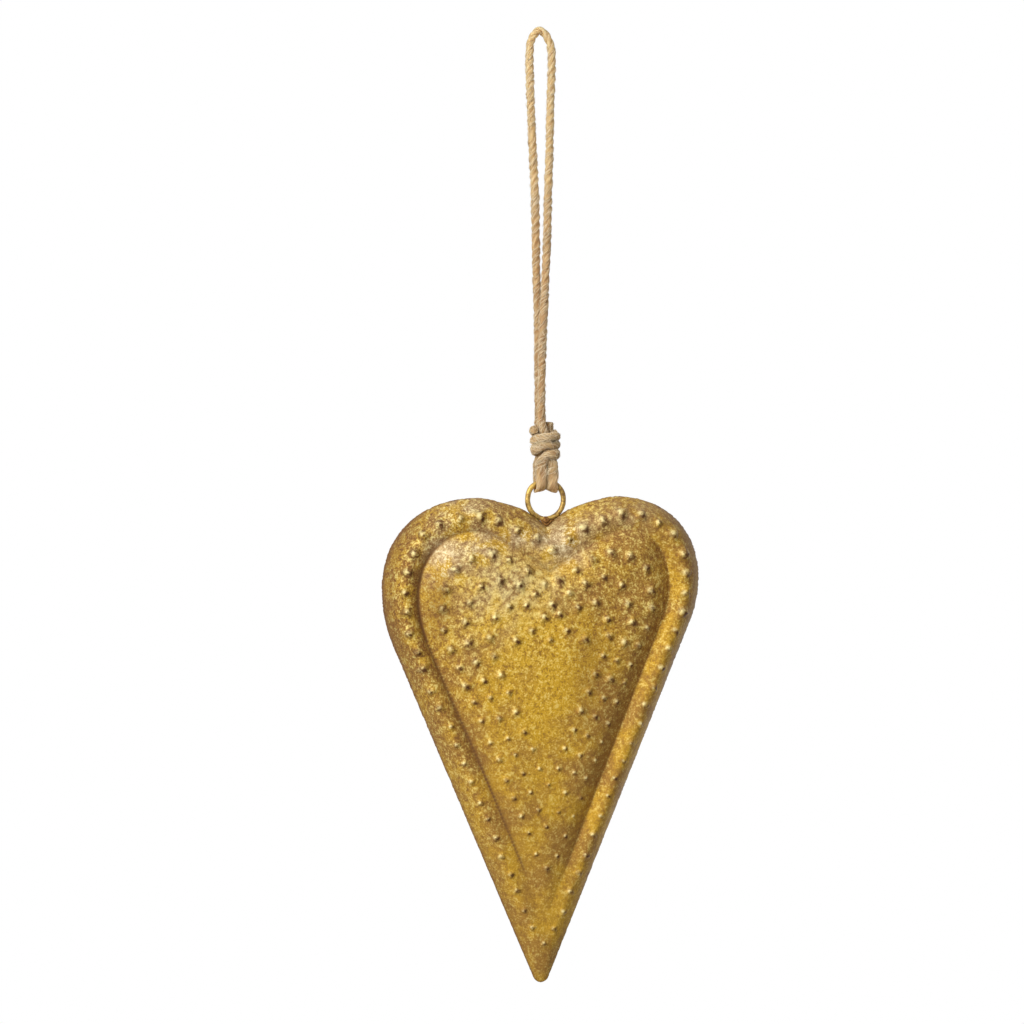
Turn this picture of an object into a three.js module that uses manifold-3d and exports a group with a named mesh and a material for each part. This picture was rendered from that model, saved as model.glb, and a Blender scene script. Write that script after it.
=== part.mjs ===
// A hanging heart of pressed sheet metal: two embossed shells soldered at the rim, a wire ring in the cleft
// and a folded cord that is looped round the ring and knotted. Millimetres, +Z up, the front faces -Y.
// The origin is the seat of the hook, inside the top of the cord's loop.
import * as THREE from "three";
import { mergeVertices } from "three/addons/utils/BufferGeometryUtils.js";
import Module from "manifold-3d";

const wasm = await Module();
wasm.setup();

// Driving dimensions of the heart's outline, down from the tops of the lobes and out from the plumb line
const heartHeight = 200.5;
const leftReach = 66;
const rightReach = 67.9;
const leftWidestDrop = 38;
const rightWidestDrop = 34;
const leftTopReach = 26;
const rightTopReach = 32;
const leftTopDrop = 0.8;
const rightTopDrop = 0;
const leftFlankRadius = 60;
const rightFlankRadius = 45;
const tipRadius = 3.3;
const tipOffset = 0.3; // the tip hangs to the right of the plumb line
const notchSlope = THREE.MathUtils.degToRad(34); // sides of the cleft's notch, from level
const notchRun = 8.5;
const notchHandle = 0.12; // shares of the run from the notch to the lobe's top
const topHandle = 0.22;
const lobeFullness = 0.6; // 0.55 would be an ellipse

// The border between the rim and the crease of the inner heart
const leftBorder = 13.8;
const rightBorder = 14.8;
const borderTop = 13.7;
const borderCleft = 18.2;
const borderTip = 31.5;
const innerWidestDrop = 3.3; // below the rim's own widest places
const innerFlankSlack = 14; // the crease turns into its flanks on a radius smaller by this
const innerTopShift = 2; // the inner lobes stand further out by this

// Depths of the pressing, from the plane of the seam
const sheet = 0.7;
const crestHeight = 11;
const grooveDepth = 3.6;
const domeHeight = 15;
const domeCentreDrop = 70;
const tipTaper = 0.45; // share of the heights that is left at the tip
const tipTaperRun = 80; // length over which they rise to the full ones
const crestPlace = 0.55; // share of the border from the rim to its crest
const grooveFade = 46; // length over which the groove runs out above the inner tip
const grooveLeft = 0.15; // share of its depth that is left there
const grooveTop = 0.35; // share of its depth along the tops of the lobes and the cleft
const topFacing = 0.62; // uprightness of the crease from which the groove deepens
const sideFacing = 0.94; // and at which it is at its deepest
const crestRoundness = 1.55; // 1 would be a straight slope from the rim to the crest
const shoulderRise = 5; // the dome's steep edge inside the crease
const shoulderWidth = 12;
const shoulderLeft = 0.3; // share of that edge's height above the inner tip

// Punched bumps
const bumpRadius = 1.6;
const bumpTopRadius = 0.5; // worn flat
const bumpHeight = 1.2;
const bumpPitch = 8.3;
const bumpSides = 5;
const bumpRows = [0.83, 0.655, 0.48]; // sizes of the rows, as shares of the inner heart
const bumpTopRow = 0.28; // the short row below the cleft
const bumpTopSpan = 14; // it ends this far above the dome's centre

// Rim seam, hanging ring and its solder
const seamThickness = 0.7;
const seamWidth = 1.3;
const gap = 0.3; // between pieces that touch
const wireDiameter = 2.2;
const ringOuterDiameter = 17.5;
const ringOffset = 2.35; // ring's middle, to the right of the plumb line
const ringDrop = 1.6; // ring's middle, below the tops of the lobes
const ringPinch = 0.35; // the wire's ends are drawn down to a point
const pinchSharpness = 16;
const solderThickness = 3;

// Cord
const cordDiameter = 3.1;
const routeCord = 3.1; // the thickness of cord that the loop's route is laid out for
const neckLength = 3.5; // the doubled cord, from the end of the loop to the top of the knot
const knotOffset = 2.1;
const knotTurns = 2.75;
const knotPitch = 3.7;
const knotCoreRadius = 3.2;
const knotBite = 0.35; // the wraps sink into the core by this
const bightLength = 8.825; // knot's foot to the middle of the ring's wire
const bightSpread = 2.2; // each bight, from the ring's middle
const bightSlack = 0.6; // between the ring's wire and the cord round it

// Fineness of the facets
const stepsPerCurve = [2, 4, 8, 4, 12, 3]; // notch, shoulder, lobe, flank's turn, flank, tip
const domeRows = [...bumpRows, bumpTopRow].map((size) => 2 - size);
const outerRows = [0, 0.18, 0.36, crestPlace, 0.8, 1, 1.07, ...domeRows];
const innerRows = [0, 0.3, crestPlace, 1, 1.1, 1.3, 1.7];
const tubeSides = 8;
const loopSteps = 80;
const bightSteps = 20;
const bightTurnSteps = 6;
const wrapStepsPerTurn = 20;
const coreSides = 12;
const ringSteps = 32;
const solderSteps = 6;
const girthSamples = 1200;
const gapSamples = 400;
const gapReach = 4; // diameters along a cord, beyond which its stretches count as apart
const nudge = 1e-3;

const wireRadius = wireDiameter / 2;
const cordRadius = cordDiameter / 2;
const ringRadius = ringOuterDiameter / 2 - wireRadius;
const rimHeight = seamThickness / 2 + gap;
const notchDrop = ringDrop + (ringOuterDiameter / 2 + gap) / Math.cos(notchSlope);

const goldLook = { color: 0xad8847, roughness: 0.5, metalness: 0.75 };
const wireLook = { color: 0x9c7238, roughness: 0.5, metalness: 0.8 };
const solderLook = { color: 0x8f6c3c, roughness: 0.6, metalness: 0.7 };
const cordLook = { color: 0xc4a882, roughness: 0.95, metalness: 0 };

const { lerp, smoothstep } = THREE.MathUtils;
const flat = (x, z) => new THREE.Vector2(x, z);
const space = (x, y, z) => new THREE.Vector3(x, y, z);

const rimForm = {
  cleft: flat(ringOffset, -notchDrop),
  tip: flat(tipOffset, -heartHeight),
  left: {
    reach: leftReach,
    widest: leftWidestDrop,
    top: leftTopReach,
    topDrop: leftTopDrop,
    turn: leftFlankRadius,
  },
  right: {
    reach: rightReach,
    widest: rightWidestDrop,
    top: rightTopReach,
    topDrop: rightTopDrop,
    turn: rightFlankRadius,
  },
};

function creaseSide(rimSide, border) {
  return {
    reach: rimSide.reach - border,
    widest: rimSide.widest + innerWidestDrop,
    top: rimSide.top + innerTopShift,
    topDrop: rimSide.topDrop + borderTop,
    turn: rimSide.turn - innerFlankSlack,
  };
}

const creaseForm = {
  cleft: flat(ringOffset, -notchDrop - borderCleft),
  tip: flat(tipOffset, borderTip - heartHeight),
  left: creaseSide(rimForm.left, leftBorder),
  right: creaseSide(rimForm.right, rightBorder),
};

// One side of a heart from the cleft to the tip; way is -1 on the left and 1 on the right
function sideCurves(form, side, way) {
  const notchEnd = flat(form.cleft.x + way * notchRun, form.cleft.y + notchRun * Math.tan(notchSlope));
  const top = flat(way * side.top, -side.topDrop);
  const widest = flat(way * side.reach, -side.widest);
  const run = Math.abs(top.x - notchEnd.x);
  const shoulder = new THREE.CubicBezierCurve(
    notchEnd,
    flat(notchEnd.x + way * notchHandle * run, notchEnd.y + notchHandle * run * Math.tan(notchSlope)),
    flat(top.x - way * topHandle * run, top.y),
    top,
  );
  const lobe = new THREE.CubicBezierCurve(
    top,
    flat(top.x + lobeFullness * (widest.x - top.x), top.y),
    flat(widest.x, widest.y + lobeFullness * (top.y - widest.y)),
    widest,
  );
  // The straight flank touches the turn below the widest place and the round of the tip
  const turnCentre = flat(widest.x - way * side.turn, widest.y);
  const tipCentre = flat(form.tip.x, form.tip.y + tipRadius);
  const between = turnCentre.clone().sub(tipCentre);
  const normalAngle =
    Math.atan2(between.y, between.x) - way * Math.acos((tipRadius - side.turn) / between.length());
  const onCircle = (centre, radius) =>
    flat(centre.x + radius * Math.cos(normalAngle), centre.y + radius * Math.sin(normalAngle));
  const startAngle = way < 0 ? Math.PI : 0;
  const endAngle = way < 0 ? 1.5 * Math.PI : -0.5 * Math.PI;
  const arc = (centre, radius, from, to) =>
    new THREE.EllipseCurve(centre.x, centre.y, radius, radius, from, to, way > 0);
  return [
    new THREE.LineCurve(form.cleft, notchEnd),
    shoulder,
    lobe,
    arc(turnCentre, side.turn, startAngle, normalAngle),
    new THREE.LineCurve(onCircle(turnCentre, side.turn), onCircle(tipCentre, tipRadius)),
    arc(tipCentre, tipRadius, normalAngle, endAngle),
  ];
}

const curvesPerSide = stepsPerCurve.length;
const allCurves = 2 * curvesPerSide;

// A whole outline as a function of a place from 0 to allCurves: down the left side, then up the right
function outlineOf(form) {
  const left = sideCurves(form, form.left, -1);
  const right = sideCurves(form, form.right, 1);
  return (place) => {
    const wrapped = THREE.MathUtils.euclideanModulo(place, allCurves);
    const curve = Math.min(Math.floor(wrapped), allCurves - 1);
    const along = wrapped - curve;
    if (curve < curvesPerSide) {
      return left[curve].getPoint(along);
    }
    return right[allCurves - 1 - curve].getPoint(1 - along);
  };
}

const rimAt = outlineOf(rimForm);
const creaseAt = outlineOf(creaseForm);
const domeCentre = flat(ringOffset / 2, -domeCentreDrop);

// Height of the pressing: row runs from 0 at the rim to 1 at the crease and 2 at the dome's centre
function reliefHeight(place, row) {
  const crease = creaseAt(place);
  const along = creaseAt(place + nudge).sub(creaseAt(place - nudge)).normalize();
  const aboveTip = smoothstep((crease.y - creaseForm.tip.y) / grooveFade, 0, 1);
  const onSide = smoothstep(Math.abs(along.y), topFacing, sideFacing);
  const groove = crestHeight - grooveDepth * lerp(grooveLeft, 1, aboveTip) * lerp(grooveTop, 1, onSide);
  if (row < crestPlace) {
    const towardsRim = 1 - row / crestPlace;
    return lerp(rimHeight, crestHeight, 1 - towardsRim ** crestRoundness);
  }
  if (row < 1) {
    const towardsCrease = (row - crestPlace) / (1 - crestPlace);
    return lerp(crestHeight, groove, towardsCrease ** 2);
  }
  const size = 2 - row;
  const rise = shoulderRise * lerp(shoulderLeft, 1, aboveTip);
  const inside = (1 - size) * Math.abs(crease.clone().sub(domeCentre).dot(flat(along.y, -along.x)));
  const towardsGroove = 1 - Math.min(inside / shoulderWidth, 1);
  return groove + rise * (1 - towardsGroove ** 2) + (domeHeight - rise - groove) * (1 - size ** 2);
}

// A point of the shell's outside, with its height along +Y
function shellPoint(place, row) {
  const crease = creaseAt(place);
  const point = row < 1 ? rimAt(place).lerp(crease, row) : domeCentre.clone().lerp(crease, 2 - row);
  const aboveTip = smoothstep((point.y - rimForm.tip.y) / tipTaperRun, 0, 1);
  const height = lerp(rimHeight, reliefHeight(place, row), lerp(tipTaper, 1, aboveTip));
  return space(point.x, height, point.y);
}

function shellNormal(place, row) {
  const back = Math.max(row - nudge, 0);
  const across = shellPoint(place, row + nudge).sub(shellPoint(place, back));
  const along = shellPoint(place + nudge, row).sub(shellPoint(place - nudge, row));
  return across.cross(along).normalize();
}

// Columns of the shell, with more where the outline bends
function columnPlaces() {
  const counts = [...stepsPerCurve, ...stepsPerCurve.toReversed()];
  return counts.flatMap((count, curve) => Array.from({ length: count }, (_, step) => curve + step / count));
}

const columns = columnPlaces();

function solidFrom(geometry) {
  const bare = geometry.clone();
  bare.deleteAttribute("normal");
  bare.deleteAttribute("uv");
  const merged = mergeVertices(bare, nudge);
  const mesh = new wasm.Mesh({
    numProp: 3,
    vertProperties: Float32Array.from(merged.attributes.position.array),
    triVerts: Uint32Array.from(merged.index.array),
  });
  return new wasm.Manifold(mesh);
}

function geometryFrom(solid) {
  const mesh = solid.getMesh();
  const geometry = new THREE.BufferGeometry();
  geometry.setAttribute("position", new THREE.BufferAttribute(Float32Array.from(mesh.vertProperties), 3));
  geometry.setIndex(Array.from(mesh.triVerts));
  geometry.computeVertexNormals();
  return geometry;
}

function joined(geometries) {
  return geometryFrom(geometries.map(solidFrom).reduce((sum, solid) => sum.add(solid)));
}

function facetGeometry(points, triangles) {
  const geometry = new THREE.BufferGeometry();
  geometry.setFromPoints(points);
  geometry.setIndex(triangles.flat());
  geometry.computeVertexNormals();
  return geometry;
}

// A band of facets between two rows of point numbers
function band(first, second) {
  return first.flatMap((a, i) => {
    const next = (i + 1) % first.length;
    return [
      [a, second[i], first[next]],
      [first[next], second[i], second[next]],
    ];
  });
}

// The plain pressed sheet: its outside, its inside one sheet thickness below, and the flat edge at the rim
function sheetGeometry() {
  const points = [];
  const addPoint = (point) => points.push(point) - 1;
  const outside = outerRows.map((row) => columns.map((place) => addPoint(shellPoint(place, row))));
  const sunk = (place, row) => shellPoint(place, row).addScaledVector(shellNormal(place, row), -sheet);
  const inside = innerRows.map((row) =>
    columns.map((place) => {
      const point = sunk(place, row);
      point.y = row === 0 ? rimHeight : point.y;
      return addPoint(point);
    }),
  );
  const outerPeak = addPoint(space(domeCentre.x, domeHeight, domeCentre.y));
  const innerPeak = addPoint(space(domeCentre.x, domeHeight - sheet, domeCentre.y));
  const surface = (rows, peak) => {
    const last = rows.at(-1);
    const bands = rows.slice(1).flatMap((row, i) => band(rows[i], row));
    const cap = last.map((a, i) => [a, peak, last[(i + 1) % last.length]]);
    return [...bands, ...cap];
  };
  const turned = (triangles) => triangles.map(([a, b, c]) => [a, c, b]);
  return facetGeometry(points, [
    ...surface(outside, outerPeak),
    ...turned(surface(inside, innerPeak)),
    ...turned(band(outside[0], inside[0])),
  ]);
}

// Places at an even pitch along one row of the shell
function pitchedPlaces(row, offset) {
  const fine = Array.from({ length: girthSamples }, (_, i) => (i * allCurves) / girthSamples);
  const spots = fine.map((place) => shellPoint(place, row));
  const steps = spots.map((spot, i) => spot.distanceTo(spots[(i + 1) % spots.length]));
  const girth = steps.reduce((sum, step) => sum + step, 0);
  const count = Math.round(girth / bumpPitch);
  const places = [];
  let walked = (offset * girth) / count;
  fine.forEach((place, i) => {
    if (walked >= girth / count) {
      walked -= girth / count;
      places.push(place);
    }
    walked += steps[i];
  });
  return places;
}

function bumpGeometry(place, row) {
  const depth = sheet / 2;
  const bump = new THREE.CylinderGeometry(bumpTopRadius, bumpRadius, bumpHeight + depth, bumpSides);
  bump.translate(0, (bumpHeight - depth) / 2, 0);
  const turn = new THREE.Quaternion().setFromUnitVectors(space(0, 1, 0), shellNormal(place, row));
  bump.applyQuaternion(turn);
  const foot = shellPoint(place, row);
  return bump.translate(foot.x, foot.y, foot.z);
}

function bumpGeometries() {
  const rowsOfBumps = [crestPlace, ...bumpRows.map((size) => 2 - size)];
  const full = rowsOfBumps.flatMap((row, i) =>
    pitchedPlaces(row, (i % 2) / 2).map((place) => bumpGeometry(place, row)),
  );
  const topRow = 2 - bumpTopRow;
  const underCleft = pitchedPlaces(topRow, 0).filter(
    (place) => shellPoint(place, topRow).z > domeCentre.y + bumpTopSpan * bumpTopRow,
  );
  return [...full, ...underCleft.map((place) => bumpGeometry(place, topRow))];
}

const pressing = joined([sheetGeometry(), ...bumpGeometries()]);

// The front shell is the pressing turned to face -Y by a mirror in the seam's plane
function mirrored(geometry) {
  const copy = geometry.clone().scale(1, -1, 1);
  const index = copy.index.array;
  copy.setIndex(Array.from(index, (_, i) => index[i - (i % 3) + [0, 2, 1][i % 3]]));
  copy.computeVertexNormals();
  return copy;
}

function seamGeometry() {
  const half = seamThickness / 2;
  const inset = (place) => {
    const along = rimAt(place + nudge).sub(rimAt(place - nudge)).normalize();
    return rimAt(place).add(flat(-along.y, along.x).multiplyScalar(seamWidth));
  };
  const points = [];
  const row = (pointAt, y) =>
    columns.map((place) => {
      const point = pointAt(place);
      return points.push(space(point.x, y, point.y)) - 1;
    });
  const corners = [row(rimAt, -half), row(rimAt, half), row(inset, half), row(inset, -half)];
  return facetGeometry(
    points,
    corners.flatMap((corner, i) => band(corner, corners[(i + 1) % corners.length])),
  );
}

function roundSection(radius) {
  const corner = (i) => {
    const angle = (2 * Math.PI * i) / tubeSides;
    return flat(radius * Math.cos(angle), radius * Math.sin(angle));
  };
  return new THREE.Shape(Array.from({ length: tubeSides }, (_, i) => corner(i)));
}

function tube(points, radius, steps) {
  const path = new THREE.CatmullRomCurve3(points);
  return new THREE.ExtrudeGeometry(roundSection(radius), { steps, extrudePath: path, bevelEnabled: false });
}

// The least distance between stretches of a cord that lie further apart along it than a few diameters
function leastGap(points, diameter) {
  const path = new THREE.CatmullRomCurve3(points);
  const fine = path.getSpacedPoints(gapSamples);
  const reach = Math.ceil((gapReach * diameter * gapSamples) / path.getLength());
  const clear = fine.flatMap((spot, i) => fine.slice(i + reach).map((other) => spot.distanceTo(other)));
  return Math.min(...clear) - diameter;
}

// The ring is one bent wire whose ends meet at the bottom
function ringGeometry() {
  const bottom = -Math.PI / 2;
  const halfGap = gap / 2 / ringRadius;
  const points = Array.from({ length: ringSteps + 1 }, (_, i) => {
    const angle = bottom + halfGap + ((2 * Math.PI - 2 * halfGap) * i) / ringSteps;
    const pinch = ringPinch * Math.max(0, Math.cos(angle - bottom)) ** pinchSharpness;
    const radius = ringRadius + pinch;
    return space(radius * Math.cos(angle), 0, radius * Math.sin(angle));
  });
  return tube(points, wireRadius, ringSteps);
}

// The solder fills the foot of the notch below the ring
function solderGeometry() {
  const ringClear = ringOuterDiameter / 2 + ringPinch + gap;
  const footDrop = (ringOuterDiameter / 2) / Math.cos(notchSlope);
  // Where the ring's clearance meets the notch's sides, from the ring's middle
  const sideAngle = notchSlope - Math.acos((footDrop * Math.cos(notchSlope)) / ringClear);
  const shape = new THREE.Shape();
  shape.moveTo(0, -footDrop);
  shape.lineTo(ringClear * Math.sin(sideAngle), -ringClear * Math.cos(sideAngle));
  shape.absarc(0, 0, ringClear, -Math.PI / 2 + sideAngle, -Math.PI / 2 - sideAngle, true);
  shape.closePath();
  const settings = { depth: solderThickness, bevelEnabled: false, curveSegments: solderSteps };
  const block = new THREE.ExtrudeGeometry(shape, settings);
  block.translate(0, 0, -solderThickness / 2);
  return block.rotateX(Math.PI / 2);
}

// Route of the loop, from the hitch up the left leg, over the hook's seat and down the right leg
const loopRoute = [
  [-0.15, 1.78, -158.5],
  [-0.15, 1.78, -152],
  [-0.15, 1.78, -140],
  [-0.4, 1.75, -124],
  [-0.75, 1.55, -110],
  [-1.4, 0.85, -98],
  [-1.65, 0.3, -88],
  [-2.1, 0, -68],
  [-3.1, 0, -47],
  [-4, 0, -27],
  [-4.4, 0, -11],
  [-4.2, 0, -4.3],
  [-3.3, 0, -1.6],
  [-1.9, 0, 0.5],
  [-0.2, 0, 1.6],
  [1.6, 0, 0.75],
  [3.3, 0, -1.6],
  [4.6, 0, -4.8],
  [5, 0, -11],
  [4.45, 0, -27],
  [4, 0, -47],
  [3.35, 0, -68],
  [2.85, -0.3, -88],
  [2.15, -0.85, -98],
  [1.5, -1.5, -110],
  [0.75, -1.75, -124],
  [0.3, -1.78, -140],
  [0.15, -1.78, -152],
  [0.15, -1.78, -158.5],
].map(([x, y, z]) => space((x * cordDiameter) / routeCord, (y * cordDiameter) / routeCord, z));

// The trimmed tails, from inside the knot to their cut ends, with heights from the knot's top
const tailRoutes = [
  [
    [-0.6, -2, -4.6],
    [-3, -2.6, -0.6],
  ],
  [
    [3.2, -1.6, -3.6],
    [4.1, -2, 1.3],
  ],
];

// Levels below the hook's seat, from the route's ends down to the tops of the lobes
const twistDrop = gap / 2 - loopRoute[0].z;
const knotDrop = twistDrop + neckLength;
const knotHeight = knotTurns * knotPitch + cordDiameter;
const knotFootDrop = knotDrop + knotHeight;
const hangDrop = knotFootDrop + bightLength + ringRadius - ringDrop;

// The knot: a core, the cord's wraps round it, the two legs that enter it and the two trimmed tails
const wrapRadius = knotCoreRadius + cordRadius - knotBite;

function wrapRoute() {
  const count = Math.round(knotTurns * wrapStepsPerTurn);
  return Array.from({ length: count + 1 }, (_, i) => {
    const turn = i / wrapStepsPerTurn;
    const angle = Math.PI * (1 - 2 * turn);
    const z = -knotDrop - cordRadius - turn * knotPitch;
    return space(knotOffset + wrapRadius * Math.cos(angle), wrapRadius * Math.sin(angle), z);
  });
}

function coreGeometry() {
  const foot = -knotFootDrop;
  const footRadius = wrapRadius + cordRadius - knotBite;
  const profile = [
    flat(0, foot),
    flat(footRadius, foot),
    flat(footRadius, foot + cordRadius),
    flat(knotCoreRadius, foot + cordDiameter),
    flat(knotCoreRadius, -knotDrop - cordRadius),
    flat(knotCoreRadius - knotBite, -knotDrop),
    flat(0, -knotDrop),
  ];
  return new THREE.LatheGeometry(profile, coreSides).rotateX(Math.PI / 2).translate(knotOffset, 0, 0);
}

function knotGeometry() {
  const neckTop = -twistDrop - gap / 2;
  const neck = (end) => [space(end.x, end.y, neckTop), space(end.x, end.y, -knotDrop - cordDiameter)];
  const tails = tailRoutes.map((route) => route.map(([x, y, z]) => space(x, y, z - knotDrop)));
  const wraps = wrapRoute();
  const shortTubes = [neck(loopRoute[0]), neck(loopRoute.at(-1)), ...tails];
  return joined([
    coreGeometry(),
    tube(wraps, cordRadius, wraps.length - 1),
    ...shortTubes.map((ends) => tube(ends, cordRadius, 1)),
  ]);
}

// A bight hangs from the knot, in front of the ring's wire, under it and up behind it
function bightGeometry(way) {
  const x = ringOffset + way * bightSpread;
  const turnRadius = wireRadius + bightSlack + cordRadius;
  const wireZ = -hangDrop - ringDrop + Math.sqrt(ringRadius ** 2 - bightSpread ** 2);
  const legTop = -knotFootDrop - gap;
  const turn = Array.from({ length: bightTurnSteps + 1 }, (_, i) => {
    const angle = (Math.PI * i) / bightTurnSteps;
    return space(x, -turnRadius * Math.cos(angle), wireZ - turnRadius * Math.sin(angle));
  });
  const legMiddle = (legTop + wireZ) / 2;
  const route = [
    space(x, -turnRadius, legTop),
    space(x, -turnRadius, legMiddle),
    ...turn,
    space(x, turnRadius, legMiddle),
    space(x, turnRadius, legTop),
  ];
  return tube(route, cordRadius, bightSteps);
}

function named(name, geometry, look) {
  const mesh = new THREE.Mesh(geometry, new THREE.MeshStandardMaterial(look));
  mesh.name = name;
  return mesh;
}

const ring = new THREE.Group();
ring.position.set(ringOffset, 0, -ringDrop);
ring.add(named("hanging_ring", ringGeometry(), wireLook));
ring.add(named("ring_solder", solderGeometry(), solderLook));

const heart = new THREE.Group();
heart.position.z = -hangDrop;
heart.add(named("front_shell", mirrored(pressing), goldLook));
heart.add(named("back_shell", pressing, goldLook));
heart.add(named("rim_seam", seamGeometry(), solderLook));
heart.add(ring);

const ornament = new THREE.Group();
ornament.add(heart);
ornament.add(named("cord_loop", tube(loopRoute, cordRadius, loopSteps), cordLook));
ornament.add(named("cord_knot", knotGeometry(), cordLook));
ornament.add(named("cord_bight_left", bightGeometry(-1), cordLook));
ornament.add(named("cord_bight_right", bightGeometry(1), cordLook));

console.log(`least gap of the loop to itself: ${leastGap(loopRoute, cordDiameter).toFixed(2)} mm`);
console.log(`least gap of the knot's wraps: ${leastGap(wrapRoute(), cordDiameter).toFixed(2)} mm`);

export default ornament;
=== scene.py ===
import math

import bpy
import numpy as np
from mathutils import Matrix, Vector
from mathutils.geometry import delaunay_2d_cdt
from numpy.random import default_rng


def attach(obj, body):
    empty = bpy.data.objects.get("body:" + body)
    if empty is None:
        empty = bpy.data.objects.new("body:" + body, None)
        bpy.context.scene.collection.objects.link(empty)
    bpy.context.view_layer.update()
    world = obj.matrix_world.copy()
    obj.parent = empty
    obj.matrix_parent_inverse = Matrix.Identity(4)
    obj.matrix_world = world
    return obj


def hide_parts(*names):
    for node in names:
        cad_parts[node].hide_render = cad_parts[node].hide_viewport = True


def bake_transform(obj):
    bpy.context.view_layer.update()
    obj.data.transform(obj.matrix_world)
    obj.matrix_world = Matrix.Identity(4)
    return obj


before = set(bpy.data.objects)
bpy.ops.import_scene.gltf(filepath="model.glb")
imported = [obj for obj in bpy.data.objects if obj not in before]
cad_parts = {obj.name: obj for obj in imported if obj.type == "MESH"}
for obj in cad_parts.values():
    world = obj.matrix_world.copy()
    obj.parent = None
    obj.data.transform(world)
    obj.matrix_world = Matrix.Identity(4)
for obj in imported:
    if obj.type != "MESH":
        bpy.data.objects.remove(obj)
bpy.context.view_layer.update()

# Lengths are in millimetres, apart from those of the floor and the lamps
METRE = 1000.0
TURN = 2 * math.pi

# View of the photograph
PHOTO_PIXELS = 1024
PHOTO_SCALE = 0.4114  # millimetres in a pixel, at the object
CAMERA_YAW = math.radians(12)
CAMERA_DISTANCE = 1000.0
CAMERA_TARGET = (-11.81, 0.0, -196.93)
CAMERA_SENSOR = 36.0

# Outline of the heart, down from the tops of the lobes and out from the plumb line
HANG_DROP = 190.3
HEART_HEIGHT = 200.5
TIP_RADIUS = 3.3
TIP_OFFSET = 0.3
NOTCH_SLOPE = math.radians(34)
NOTCH_RUN = 8.5
NOTCH_HANDLE = 0.12
TOP_HANDLE = 0.22
LOBE_FULLNESS = 0.6
LEFT_SIDE = {"reach": 66.0, "widest": 38.0, "top": 26.0, "top_drop": 0.8, "turn": 60.0}
RIGHT_SIDE = {"reach": 67.9, "widest": 34.0, "top": 32.0, "top_drop": 0.0, "turn": 45.0}

# Border and pressing
LEFT_BORDER = 13.8
RIGHT_BORDER = 14.8
BORDER_TOP = 13.7
BORDER_CLEFT = 18.2
BORDER_TIP = 31.5
INNER_WIDEST_DROP = 3.3
INNER_FLANK_SLACK = 14.0
INNER_TOP_SHIFT = 2.0
SHEET = 0.7
CREST_HEIGHT = 11.0
GROOVE_DEPTH = 3.6
DOME_HEIGHT = 15.0
DOME_DROP = 70.0
CREST_PLACE = 0.55
GROOVE_FADE = 46.0
LEFT_GROOVE_FADE = 115.0
GROOVE_AT_TIP = 0.15  # shares of its depth that the groove keeps at the tip and along the tops
GROOVE_AT_TOP = 0.5
SIDE_FACING = (0.62, 0.94)
CREST_ROUNDNESS = 1.55
SHOULDER_RISE = 5.0
SHOULDER_WIDTH = 12.0
SHOULDER_AT_TIP = 0.3
RIM_HEIGHT = 0.65
TIP_TAPER = 0.45
TIP_TAPER_RUN = 80.0

# Punched bumps
BUMP_RADIUS = 2.25
BUMP_HEIGHT = 1.5
BUMP_TIP = 0.4  # roundness of the top, as a share of the radius
BUMP_FLANK = 1.15
BUMP_SKIRT = 0.22
BUMP_SKIRT_REACH = 3.3
BUMP_PITCH = 8.3
BUMP_STRAY = 0.4
BUMP_LEAST = 0.6  # size of the bumps low on the heart
BUMP_GROWTH = (-115.0, -45.0)
BUMP_UNEVEN = 0.12
BUMP_RAGGED = 0.22  # three-cornered unevenness, turned differently on each bump
BUMP_CORNERS = 3
BUMP_TURN = 2.4
BUMP_HEARTS = (0.83, 0.655, 0.48)  # rows of bumps on the dome, as shares of the inner heart's size
BUMP_TOP_HEART = 0.28  # the smallest row has only its upper part
BUMP_TOP_SPAN = 14.0
BUMP_SEED = 17

# Ring, solder and seam
WIRE_DIAMETER = 2.2
RING_DIAMETER = 17.5
RING_OFFSET = 2.35
RING_DROP = 1.6
RING_PINCH = 0.35
RING_SINK = 0.25  # the wire is let into the rims of the notch
PIECE_GAP = 0.3
SEAM_WIDTH = 1.3
RING_RADIUS = (RING_DIAMETER - WIRE_DIAMETER) / 2
RING_LEVEL = -HANG_DROP - RING_DROP

# Cord
CORD_DIAMETER = 3.1
CORD_RADIUS = CORD_DIAMETER / 2
LAY_LENGTH = 10.8
KNOT_DROP = 162.15
KNOT_OFFSET = 2.1
KNOT_TURNS = 2.75
KNOT_PITCH = 3.7
WRAP_RADIUS = 4.4
BIGHT_SPREAD = 2.2
BIGHT_TURN = 2.75


# Shapes that several pieces share

ROUTE_SAMPLES = 24
NEARLY_UPRIGHT = 0.9  # steepness from which a route's first side is taken from another axis


def lengths(vectors):
    return np.linalg.norm(vectors, axis=-1)


def unit(vectors):
    """The same directions with a length of 1"""
    return vectors / lengths(vectors)[:, None]


def turned(count):
    """Angles at an even step round a full turn"""
    return np.arange(count) * TURN / count


def walk_along(points):
    """How far along a line each of its points lies"""
    return np.concatenate([[0], np.cumsum(lengths(np.diff(points, axis=0)))])


def shaped(low, high, value):
    """0 below low, 1 above high and a smooth rise between them"""
    share = np.clip((value - low) / (high - low), 0.0, 1.0)
    return share * share * (3.0 - 2.0 * share)


def graded(ends, share):
    """From the first of two values to the second, by a share"""
    return ends[0] + (ends[1] - ends[0]) * share


def falloff(distance, reach):
    """1 at no distance, falling smoothly to almost nothing at twice the reach"""
    return np.exp(-(distance / reach) ** 2)


def spread(places, spots):
    """How much of some soft-edged places reaches each spot"""
    return sum(share * np.exp(-(((spots - middle) / reach) ** 2).sum(1)) for share, middle, reach in places)


def linked(name, data):
    """A new object in the scene"""
    piece = bpy.data.objects.new(name, data)
    bpy.context.scene.collection.objects.link(piece)
    return piece


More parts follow.
